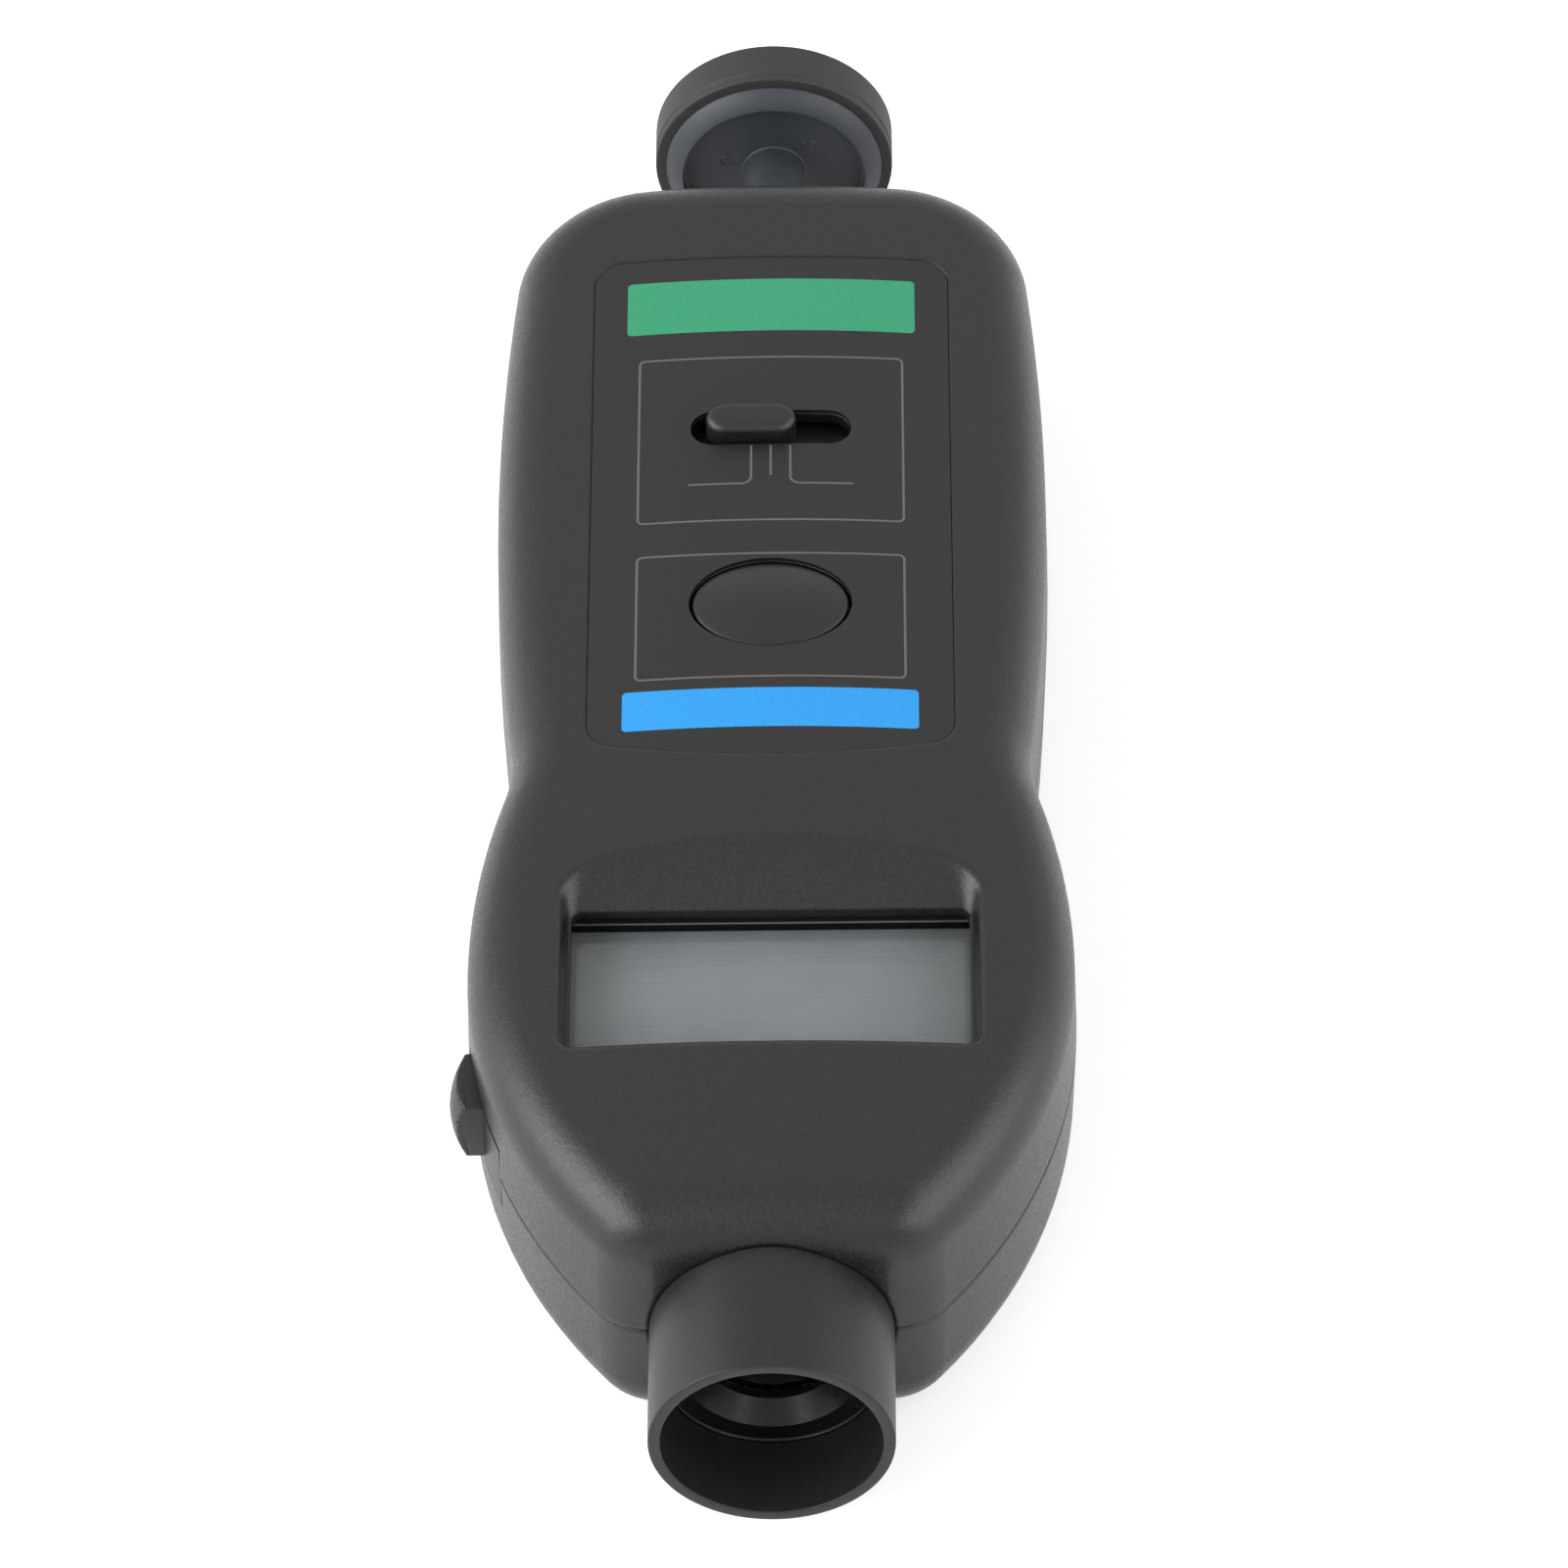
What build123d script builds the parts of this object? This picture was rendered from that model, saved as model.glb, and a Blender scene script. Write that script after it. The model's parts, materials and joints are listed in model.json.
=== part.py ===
from build123d import *
from math import hypot, pi, sqrt
import os

# Hand-held digital tachometer that reads by light at one end and by contact wheel at the other.
# Lengths are in mm. +X is to the right and +Z up, with the instrument lying on its flat back.
# The light tube points along -Y and the wheel along +Y. The origin is on the flat back,
# on the centre line, under the widest point of the housing.

# Housing outline, seen from the front
nose_y = -48.5
end_y = 132.5
end_bow = 0.8
max_half_width = 37.5
flank_radius = 70.0
shoulder_radius = 95.0
grip_half_width = 35.4
grip_y = 80.0
grip_radius = 390.0
nose_corner_radius = 9.0
neck_radius = 22.0
end_corner_radius = 18.0

# Housing section, seen from the end
front_height = 19.5
crown_radius = 200.0
edge_round = 7.5
side_draft = 1.5
wall = 2.4
rib_root = 1.2
seam_groove = 0.35

# Fits
part_gap = 0.1
slip_gap = 0.25
lift_gap = 0.3
bearing_gap = 0.03

# Light tube
tube_radius = 14.75
tube_wall = 1.5
tube_reach = 17.2
tube_relief = 0.25
tube_relief_gap = 0.3
tube_collar_radius = 15.4
tube_collar_length = 1.8
tube_tail = 12.0
tube_rib_set_back = 7.5
seat_rib = 1.6
ring_depth = 11.0
ring_length = 2.4
ring_bore_radius = 8.2
lens_radius = 12.0
lens_edge = 1.5
lens_dome = 2.2
lens_seat_lip = 2.5
lens_seat_length = 2.0

# Light source, detector and the board behind them
holder_flange = 1.5
emitter_radius = 2.5
emitter_spacing = 9.0
emitter_length = 8.0
sensor_board_width = 24.0
sensor_board_height = 20.0
board_thickness = 1.6
ribbon_width = 8.0
ribbon_thickness = 0.3

# Display pocket and display
window_width = 48.8
window_length = 23.4
window_y = -6.2
window_corner_radius = 1.2
pocket_depth = 4.5
pocket_margin = 0.3
pocket_side_flare = 0.36
pocket_far_flare = 1.6
pocket_far_roll = 1.5
pocket_near_flare = 0.27
pocket_far_corner = 6.5
pocket_near_corner = 2.5
pocket_rim_round = 1.0
pocket_section_count = 5
pane_thickness = 1.5
pane_margin = 1.4
glass_thickness = 2.6
display_frame_wall = 1.3
zebra_width = 2.2

# Control panel on the front
panel_half_width = 23.0
panel_near_y = 30.7
panel_far_y = 115.3
panel_bow = 3.2
panel_corner_radius = 4.0
panel_thickness = 0.6
panel_sink = 0.08
print_depth = 0.25
green_y = 106.45
green_width = 37.2
green_length = 9.5
blue_y = 35.4
blue_width = 37.0
blue_length = 6.6
strip_corner_radius = 0.6
frame_width = 34.1
mode_frame_y = 82.3
mode_frame_length = 29.4
memory_frame_y = 51.25
memory_frame_length = 21.5
frame_line = 0.3
frame_corner_radius = 0.9

# Mode switch
mode_y = 84.2
mode_travel = 5.0
mode_pitch = 2.5
slot_length = 20.6
slot_width = 6.0
knob_length = 11.5
knob_width = 4.9
knob_rise = 2.3
knob_round = 1.1
knob_plate_length = 27.0
knob_plate_width = 10.0
knob_plate_thickness = 1.2
switch_length = 19.0
switch_width = 7.0
switch_height = 5.4
lever_length = 2.4
lever_width = 2.0
lever_height = 4.2
fork_wall = 1.2
mark_near_y = 75.6
mark_foot_y = 74.2
mark_spread = 8.0

# Memory button
memory_y = 53.4
memory_half_width = 10.3
memory_half_length = 7.6
memory_gap = 0.45
memory_flange = 1.4
memory_flange_thickness = 1.2
memory_edge_drop = 0.5
memory_dome = 1.6
memory_stem_radius = 2.4
memory_travel = 0.8

# Measuring button on the left flank
measure_y = -16.0
measure_length = 16.4
measure_half_height = 5.0
measure_rise = 3.85
measure_far_drop = 0.7
measure_near_drop = 1.8
measure_notch_shift = 0.6
measure_notch = 0.7
measure_round = 0.9
measure_travel = 1.5
measure_flange = 1.4
measure_flange_thickness = 1.2

# Push switches on the main board
tact_size = 6.0
tact_height = 4.2
tact_plunger_radius = 1.6
tact_plunger_height = 0.5
tact_rest_gap = 0.15

# Main board
board_side_gap = 2.5
board_near_margin = 0.2
board_disc_gap = 7.0
board_lift = 2.5
board_corner_radius = 2.0
board_post_radius = 2.6
board_post_inset = 3.4
board_post_display_gap = 5.2
board_post_far_inset = 4.0
board_screw_radius = 1.2
board_screw_head_radius = 2.3
board_screw_head_height = 1.6
board_screw_length = 7.0

# Housing screws, driven from the back
screw_near_inset = 15.0
screw_near_set_back = 20.5
screw_far_inset = 12.4
screw_far_set_back = 17.5
screw_radius = 1.4
screw_head_radius = 2.75
screw_head_height = 1.9
screw_sink = 9.0
screw_bite = 6.0
screw_post_wall = 1.0
screw_boss_wall = 1.8

# Battery bay in the back
cell_radius = 7.25
cell_length = 49.2
cell_nub_radius = 2.75
cell_nub_length = 1.0
cell_pitch = 14.6
cell_count = 4
cell_lift = 0.3
bay_near_y = 27.5
spring_room = 5.8
bay_wall = 1.2
contact_thickness = 0.4
contact_width = 9.0
leaf_width = 6.0

# Battery cover
cover_near_set_back = 2.0
cover_far_set_back = 2.5
cover_side_land = 2.0
cover_corner_radius = 4.0
cover_thickness = 1.4
cover_lip = 1.2
tab_count = 2
tab_width = 5.0
tab_thickness = 1.2
tab_overlap = 1.4
catch_width = 6.0
catch_thickness = 1.4
catch_height = 3.6
grip_groove_count = 5
grip_groove_pitch = 2.4
grip_groove_width = 1.0
grip_groove_depth = 0.4
grip_groove_length = 20.0
grip_groove_y = 40.0

# Contact spindle
shaft_radius = 2.5
shaft_stub = 3.0
shaft_end_gap = 1.5
shaft_flat = 0.5
shaft_shoulder_radius = 3.5
shaft_shoulder_length = 1.2
bush_radius = 4.5
bush_length = 4.0
block_radius = 7.0
block_collar_radius = 8.6
block_collar_length = 3.4
block_length = 20.0
block_rise = 0.5
block_relief = 0.8
block_rib_step = 5.2
clip_radius = 4.6
clip_thickness = 0.8
clip_groove = 0.4
disc_set_back = 13.8
disc_radius = 11.0
disc_thickness = 0.8
disc_hub_radius = 4.6
disc_hub_length = 3.0
disc_slot_count = 12
disc_slot_width = 1.3
disc_slot_in = 7.4
disc_slot_out = 9.8
reader_width = 12.0
reader_gap = 3.0
reader_wall = 1.6
reader_foot = 1.2
reader_board_width = 22.0
reader_board_length = 13.0
reader_board_thickness = 1.2
reader_peg_height = 1.4
reader_peg_radius = 1.8

# Surface-speed wheel, whose tread measures one tenth of a metre round
wheel_circumference = 100.0
wheel_reach = 18.8
tyre_width = 6.8
tyre_depth = 2.5
tyre_edge_round = 0.5
tyre_groove_y = 1.15
tyre_groove = 0.35
hub_lip_radius = 14.5
hub_lip = 0.4
hub_ring_in = 12.2
hub_ring_rise = 1.9
hub_dish = 1.6
hub_web = 2.2
hub_web_floor = 0.8
hub_boss_radius = 3.9
hub_boss_gap = 0.35
hub_hole_radius = 1.0
hub_hole_circle = 6.5
hub_hole_count = 3
hub_hole_turn = 44.0

def circle_crossing(centre_a, radius_a, centre_b, radius_b):
    """The crossing of two circles that lies further to the right."""
    dx = centre_b[0] - centre_a[0]
    dy = centre_b[1] - centre_a[1]
    apart = hypot(dx, dy)
    along = (radius_a**2 - radius_b**2 + apart**2) / (2 * apart)
    across = sqrt(radius_a**2 - along**2)
    foot_x = centre_a[0] + along * dx / apart
    foot_y = centre_a[1] + along * dy / apart
    sides = [(foot_x + s * across * dy / apart, foot_y - s * across * dx / apart) for s in (1, -1)]
    return max(sides)


# Places of the housing, worked out from the sizes above
shoulder_centre = (max_half_width - shoulder_radius, 0)
grip_centre = (grip_half_width - grip_radius, grip_y)
neck = circle_crossing(shoulder_centre, shoulder_radius, grip_centre, grip_radius)
rear_depth = wall + cell_lift + 2 * cell_radius + part_gap + rib_root
axis_z = rear_depth
top_z = rear_depth + front_height

# Places along the light tube
rim_y = nose_y - tube_reach
tube_bore_radius = tube_radius - tube_wall
tube_rib_y = nose_y + tube_rib_set_back
tube_tail_y = nose_y + tube_tail
ring_y = rim_y + ring_depth
lens_y = ring_y + ring_length
lens_seat_y = lens_y + lens_dome + lens_edge
holder_y = lens_seat_y + lens_seat_length
sensor_board_y = tube_tail_y + holder_flange

# Places along the spindle
block_far_y = end_y + end_bow + block_rise
block_near_y = block_far_y - block_length
block_rib_y = block_near_y + block_rib_step
disc_y = block_near_y - disc_set_back
shaft_inner_y = disc_y - shaft_stub
shoulder_y = block_far_y + slip_gap
boss_near_y = shoulder_y + shaft_shoulder_length + slip_gap
wheel_radius = wheel_circumference / (2 * pi)
tyre_near_y = block_far_y + wheel_reach
tyre_far_y = tyre_near_y + tyre_width
hub_face_y = tyre_near_y - hub_lip
web_y = hub_face_y - hub_ring_rise + hub_dish
web_far_y = web_y + hub_web
hub_bore_end_y = web_far_y - hub_web_floor
shaft_end_y = hub_bore_end_y - shaft_end_gap

# Heights and widths of the display stack and the boards
pocket_floor_z = top_z - pocket_depth
floor_plate_z = pocket_floor_z - wall
pane_z = floor_plate_z - pane_thickness
glass_z = pane_z - glass_thickness
pane_width = window_width + 2 * pane_margin
pane_length = window_length + 2 * pane_margin
display_frame_width = pane_width + 2 * (display_frame_wall + part_gap)
display_frame_length = pane_length + 2 * (display_frame_wall + part_gap)
board_z = axis_z + board_lift
board_top_z = board_z + board_thickness
board_half_width = neck[0] - wall - board_side_gap
board_near_y = window_y - display_frame_length / 2 - board_near_margin
board_far_y = disc_y - board_disc_gap

# Places of the battery bay and its cover
bay_length = cell_length + cell_nub_length + 2 * (contact_thickness + part_gap) + spring_room
bay_far_y = bay_near_y + bay_length
bay_roof_z = axis_z - rib_root
cell_z = wall + cell_lift + cell_radius
cover_near_y = bay_near_y + cover_near_set_back
cover_far_y = bay_far_y - cover_far_set_back
cover_half_width = neck[0] - cover_side_land

# Place of the mode knob at rest
knob_x = -mode_travel / 2

spin_axis = Axis((0, 0, axis_z), (0, 1, 0))
side_plane = Plane(origin=(0, 0, axis_z), x_dir=(0, 1, 0), z_dir=(1, 0, 0))

os.makedirs("parts", exist_ok=True)


def save(piece, label):
    """Label a finished piece and write it under its own name."""
    piece.label = label
    export_step(piece, f"parts/{label}.step")


def body_outline(inset=0.0):
    """Plan of the housing at its seam: flanks, shoulders, neck, grip and a bowed end, in arcs."""
    nose_x = max_half_width - flank_radius + sqrt(flank_radius**2 - nose_y**2)
    end_x = grip_half_width - grip_radius + sqrt(grip_radius**2 - (end_y - grip_y) ** 2)
    corners = ((nose_y, nose_corner_radius), (neck[1], neck_radius), (end_y, end_corner_radius))
    with BuildSketch() as plan:
        with BuildLine():
            RadiusArc((nose_x, nose_y), (max_half_width, 0), -flank_radius)
            RadiusArc((max_half_width, 0), neck, -shoulder_radius)
            RadiusArc(neck, (end_x, end_y), -grip_radius)
            mirror(about=Plane.YZ)
            Line((-nose_x, nose_y), (nose_x, nose_y))
            ThreePointArc((end_x, end_y), (0, end_y + end_bow), (-end_x, end_y))
        make_face()
        for corner_y, radius in corners:
            pair = plan.vertices().filter_by(lambda v, y=corner_y: abs(v.Y - y) < 1e-3)
            fillet(pair, radius)
        if inset:
            offset(amount=-inset)
    return plan.sketch


def front_form(inset=0.0):
    """Front half of the housing as a solid, crowned across and rounded at its top edge."""
    with BuildPart() as form:
        with BuildSketch(Plane.XY.offset(axis_z)):
            add(body_outline(inset))
        extrude(amount=front_height - inset, taper=side_draft)
        with BuildSketch(Plane.XZ.offset(-2 * end_y)):
            with Locations((0, top_z - crown_radius)):
                Circle(crown_radius - inset)
        extrude(amount=4 * end_y, mode=Mode.INTERSECT)
        fillet(form.faces().sort_by(Axis.Z)[-1].outer_wire().edges(), edge_round - inset)
    return form.part


def rear_form(inset=0.0):
    """Rear half of the housing as a solid, flat at the back with rounded edges."""
    with BuildPart() as form:
        with BuildSketch(Plane.XY.offset(axis_z)):
            add(body_outline(inset))
        extrude(amount=inset - rear_depth, taper=side_draft)
        fillet(form.faces().sort_by(Axis.Z)[0].outer_wire().edges(), edge_round - inset)
    return form.part


def crown_sheet(region, under, over=0.0):
    """Sheet over a region of the front that follows the crown, from under mm below it upwards."""
    with BuildPart() as sheet:
        with BuildSketch(Plane.XY.offset(top_z - front_height / 2)):
            add(region)
        extrude(amount=front_height)
        with BuildSketch(Plane.XZ.offset(-2 * end_y)):
            with Locations((0, top_z - crown_radius)):
                Circle(crown_radius + over)
                Circle(crown_radius - under, mode=Mode.SUBTRACT)
        extrude(amount=4 * end_y, mode=Mode.INTERSECT)
    return sheet.part


def turned(*profile):
    """Solid turned about the spindle axis from points of (place along Y, radius)."""
    with BuildPart() as piece:
        with BuildSketch(side_plane):
            with BuildLine():
                Polyline(*profile, close=True)
            make_face()
        revolve(axis=spin_axis)
    return piece.part


def slab(near_y, far_y, low_z, high_z):
    """Plate across the whole housing between two places along Y and two heights."""
    with BuildPart() as plate:
        with BuildSketch(Plane.XY.offset(low_z)):
            with Locations((0, (near_y + far_y) / 2)):
                Rectangle(3 * max_half_width, far_y - near_y)
        extrude(amount=high_z - low_z)
    return plate.part


def block(x_span, y_span, z_span):
    """Plain block between two places along each axis."""
    with BuildPart() as piece:
        with BuildSketch(Plane.XY.offset(z_span[0])):
            with Locations((sum(x_span) / 2, sum(y_span) / 2)):
                Rectangle(x_span[1] - x_span[0], y_span[1] - y_span[0])
        extrude(amount=z_span[1] - z_span[0])
    return piece.part


def posts(places, radius, low_z, high_z):
    """Round posts between two heights."""
    with BuildPart() as group:
        with BuildSketch(Plane.XY.offset(low_z)):
            with Locations(*places):
                Circle(radius)
        extrude(amount=high_z - low_z)
    return group.part


def rod(near_y, far_y, radius):
    """Round bar on the spindle axis."""
    return turned((near_y, 0), (near_y, radius), (far_y, radius), (far_y, 0))


def screw_places():
    """Centres of the four housing screws."""
    near_x = max_half_width - screw_near_inset
    far_x = grip_half_width - screw_far_inset
    near = [(side * near_x, nose_y + screw_near_set_back) for side in (-1, 1)]
    far = [(side * far_x, end_y - screw_far_set_back) for side in (-1, 1)]
    return near + far


def board_screw_places():
    """Centres of the four screws that hold the main board."""
    post_x = board_half_width - board_post_inset
    near_y = window_y + display_frame_length / 2 + board_post_display_gap
    rows = (near_y, board_far_y - board_post_far_inset)
    return [(side * post_x, row) for side in (-1, 1) for row in rows]


def pocket_sketch(height, grow=0.0):
    """Section of the display pocket at a height above its floor, widened by grow."""
    half = window_width / 2 + pocket_margin + pocket_side_flare * height + grow
    near = window_y - window_length / 2 - pocket_near_flare * height - grow
    share = max(height, 0) / (pocket_depth + 1)
    roll = pocket_far_roll * (max(height, 0) / pocket_depth) ** 3
    far = window_y + window_length / 2 + pocket_far_flare * height + roll + grow
    near_corner = window_corner_radius + share * pocket_near_corner
    far_corner = window_corner_radius + share * pocket_far_corner
    with BuildSketch() as section:
        with Locations((0, (near + far) / 2)):
            Rectangle(2 * half, far - near)
        fillet(section.vertices().group_by(Axis.Y)[0], near_corner)
        fillet(section.vertices().group_by(Axis.Y)[-1], far_corner)
    return section.sketch


def pocket_form(low, high, grow=0.0):
    """Display pocket as a solid between two heights above its floor."""
    step = (high - low) / (pocket_section_count - 1)
    with BuildPart() as form:
        for i in range(pocket_section_count):
            with BuildSketch(Plane.XY.offset(pocket_floor_z + low + i * step)):
                add(pocket_sketch(low + i * step, grow))
        loft()
    return form.part


def on_pocket_rim(edge):
    """Whether an edge lies where the display pocket's walls meet the outside of the housing."""
    place = edge.center()
    half = window_width / 2 + pocket_margin + pocket_side_flare * pocket_depth + 1
    near = window_y - window_length / 2 - pocket_near_flare * pocket_depth - 1
    far = window_y + window_length / 2 + pocket_far_flare * pocket_depth + pocket_far_roll + 1
    outside_z = top_z - place.X**2 / (2 * crown_radius)
    on_outside = abs(place.Z - outside_z) < wall / 2
    return on_outside and abs(place.X) < half and near < place.Y < far


def panel_outline(clearance=0.0):
    """Outline of the control panel, bowed towards the display."""
    half = panel_half_width - clearance
    near = panel_near_y + clearance
    far = panel_far_y - clearance
    with BuildSketch() as outline:
        with BuildLine():
            Polyline((-half, near), (-half, far), (half, far), (half, near))
            ThreePointArc((half, near), (0, near - panel_bow), (-half, near))
        make_face()
        fillet(outline.vertices(), panel_corner_radius - clearance)
    return outline.sketch


def slot_outline():
    """Opening that the mode knob slides in."""
    with BuildSketch() as outline:
        with Locations((0, mode_y)):
            SlotOverall(slot_length, slot_width)
    return outline.sketch


def memory_outline(grow=0.0):
    """Oval of the memory button's opening, or of a piece that is larger or smaller."""
    with BuildSketch() as outline:
        with Locations((0, memory_y)):
            Ellipse(memory_half_width + grow, memory_half_length + grow)
    return outline.sketch


def prism(region, low_z, high_z):
    """Solid that stands on a region of the plan between two heights."""
    with BuildPart() as piece:
        with BuildSketch(Plane.XY.offset(low_z)):
            add(region)
        extrude(amount=high_z - low_z)
    return piece.part


def measure_opening():
    """Opening in the left flank for the measuring button, cut from both halves."""
    half_length = measure_length / 2 + slip_gap
    half_height = measure_half_height + slip_gap
    x_span = (-1.5 * max_half_width, -board_half_width)
    y_span = (measure_y - half_length, measure_y + half_length)
    return block(x_span, y_span, (axis_z - half_height, axis_z + half_height))


def tube_seat(low_z, high_z):
    """Rib that locates the light tube between its two collars."""
    with BuildPart() as seat:
        add(slab(tube_rib_y, tube_rib_y + seat_rib, low_z, high_z))
        add(rod(tube_rib_y - 1, tube_rib_y + seat_rib + 1, tube_radius + part_gap), mode=Mode.SUBTRACT)
    return seat.part


def block_seat(low_z, high_z):
    """Rib that locates the bearing block between its two collars."""
    half_width = block_collar_radius + wall
    with BuildPart() as seat:
        add(block((-half_width, half_width), (block_rib_y, block_rib_y + seat_rib), (low_z, high_z)))
        far_y = block_rib_y + seat_rib + 1
        add(rod(block_rib_y - 1, far_y, block_radius + part_gap), mode=Mode.SUBTRACT)
    return seat.part


def end_bores():
    """Round openings in the nose and the far end for the light tube and the bearing block."""
    with BuildPart() as bores:
        add(rod(nose_y - 1, nose_y + wall + 4, tube_radius + part_gap))
        add(rod(end_y - wall - 4, block_far_y + 1, block_radius + part_gap))
    return bores.part


def make_front_shell():
    """Front half of the housing, with the display pocket, panel recess, openings and bosses."""
    with BuildPart() as fittings:
        add(pocket_form(-wall, pocket_depth + 1, wall - pocket_margin))
        add(posts(screw_places(), screw_radius + screw_boss_wall, axis_z, top_z))
        add(posts(board_screw_places(), board_post_radius, board_top_z, top_z))
        add(tube_seat(axis_z, top_z))
        add(block_seat(axis_z, top_z))
        add(front_form(rib_root), mode=Mode.INTERSECT)
    with BuildPart() as shell:
        add(front_form())
        chamfer(shell.faces().sort_by(Axis.Z)[0].outer_wire().edges(), seam_groove)
        add(front_form(wall), mode=Mode.SUBTRACT)
        add(fittings.part)
        add(pocket_form(0, pocket_depth + 1), mode=Mode.SUBTRACT)
        fillet(shell.edges().filter_by(on_pocket_rim), pocket_rim_round)
        with BuildSketch(Plane.XY.offset(floor_plate_z - 1)):
            with Locations((0, window_y)):
                RectangleRounded(window_width, window_length, window_corner_radius)
        extrude(amount=pocket_depth, mode=Mode.SUBTRACT)
        add(crown_sheet(panel_outline(), panel_thickness, 1), mode=Mode.SUBTRACT)
        add(prism(slot_outline(), board_top_z, top_z + 1), mode=Mode.SUBTRACT)
        add(prism(memory_outline(), board_top_z, top_z + 1), mode=Mode.SUBTRACT)
        add(measure_opening(), mode=Mode.SUBTRACT)
        add(end_bores(), mode=Mode.SUBTRACT)
        screw_top = axis_z + screw_bite + 1
        add(posts(screw_places(), screw_radius + part_gap, axis_z, screw_top), mode=Mode.SUBTRACT)
        board_screw_top = board_z + board_screw_length + 1
        holes = posts(board_screw_places(), board_screw_radius + part_gap, board_z, board_screw_top)
        add(holes, mode=Mode.SUBTRACT)
    save(shell.part, "front_shell")


def cover_outline(grow=0.0):
    """Outline of the battery cover, seen from the back."""
    with BuildSketch() as outline:
        with Locations((0, (cover_near_y + cover_far_y) / 2)):
            length = cover_far_y - cover_near_y + 2 * grow
            width = 2 * (cover_half_width + grow)
            RectangleRounded(width, length, cover_corner_radius + grow)
    return outline.sketch


def make_rear_shell():
    """Rear half of the housing, with the battery bay, its opening and the screw posts."""
    head_radius = screw_head_radius + part_gap
    with BuildPart() as fittings:
        add(slab(bay_near_y - bay_wall, bay_near_y, 0, axis_z))
        add(slab(bay_far_y, bay_far_y + bay_wall, 0, axis_z))
        add(slab(bay_near_y - bay_wall, bay_far_y + bay_wall, bay_roof_z, axis_z))
        add(posts(screw_places(), head_radius + screw_post_wall, 0, axis_z))
        add(tube_seat(0, axis_z))
        add(block_seat(0, axis_z))
        pegs = [(side * reader_board_width / 3, disc_y) for side in (-1, 1)]
        add(posts(pegs, reader_peg_radius, rib_root, wall + reader_peg_height))
        add(rear_form(rib_root), mode=Mode.INTERSECT)
    with BuildPart() as rebate:
        add(prism(cover_outline(slip_gap), -1, cell_z))
        add(rear_form(cover_thickness + part_gap), mode=Mode.SUBTRACT)
    with BuildPart() as shell:
        add(rear_form())
        chamfer(shell.faces().sort_by(Axis.Z)[-1].outer_wire().edges(), seam_groove)
        add(rear_form(wall), mode=Mode.SUBTRACT)
        add(fittings.part)
        add(rebate.part, mode=Mode.SUBTRACT)
        add(prism(cover_outline(-cover_lip), -1, cell_z), mode=Mode.SUBTRACT)
        add(measure_opening(), mode=Mode.SUBTRACT)
        add(end_bores(), mode=Mode.SUBTRACT)
        add(posts(screw_places(), head_radius, -1, screw_sink), mode=Mode.SUBTRACT)
        add(posts(screw_places(), screw_radius + part_gap, 0, axis_z + 1), mode=Mode.SUBTRACT)
    save(shell.part, "rear_shell")


def make_battery_cover():
    """Cover that follows the back, with two tabs at its far edge and a catch at its near one."""
    tab_z = wall + 0.5
    tab_tip_y = cover_far_y - cover_lip + tab_overlap
    tab_root_y = cover_far_y - cover_lip - slip_gap - 2
    tab_step_y = cover_far_y - cover_lip - 2 * slip_gap
    tabs_x = [(i - (tab_count - 1) / 2) * 2 * cell_pitch for i in range(tab_count)]
    catch_y = cover_near_y + cover_lip + 2 * slip_gap
    middle_z = cover_thickness / 2
    with BuildPart() as cover:
        add(prism(cover_outline(), -1, cell_z))
        add(rear_form(), mode=Mode.INTERSECT)
        add(rear_form(cover_thickness), mode=Mode.SUBTRACT)
        for x in tabs_x:
            x_span = (x - tab_width / 2, x + tab_width / 2)
            add(block(x_span, (tab_root_y, tab_step_y), (middle_z, tab_z + tab_thickness)))
            add(block(x_span, (tab_root_y, tab_tip_y), (tab_z, tab_z + tab_thickness)))
        catch_span = (catch_y, catch_y + catch_thickness)
        add(block((-catch_width / 2, catch_width / 2), catch_span, (middle_z, catch_height)))
        with BuildSketch():
            for i in range(grip_groove_count):
                with Locations((0, grip_groove_y + i * grip_groove_pitch)):
                    SlotOverall(grip_groove_length - i * grip_groove_pitch, grip_groove_width)
        extrude(amount=grip_groove_depth, mode=Mode.SUBTRACT)
    save(cover.part, "battery_cover")


def make_housing_screws():
    """Four pan-head screws with cross recesses, in one group."""
    head_z = screw_sink - screw_head_height
    recess = 0.6 * screw_head_height
    with BuildPart() as screws:
        add(posts(screw_places(), screw_head_radius, head_z, screw_sink))
        add(posts(screw_places(), screw_radius, screw_sink, axis_z + screw_bite))
        with BuildSketch(Plane.XY.offset(head_z)):
            with Locations(*screw_places()):
                Rectangle(screw_head_radius * 1.2, screw_radius / 3)
                Rectangle(screw_radius / 3, screw_head_radius * 1.2)
        extrude(amount=recess, mode=Mode.SUBTRACT)
    save(screws.part, "housing_screws")


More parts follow.
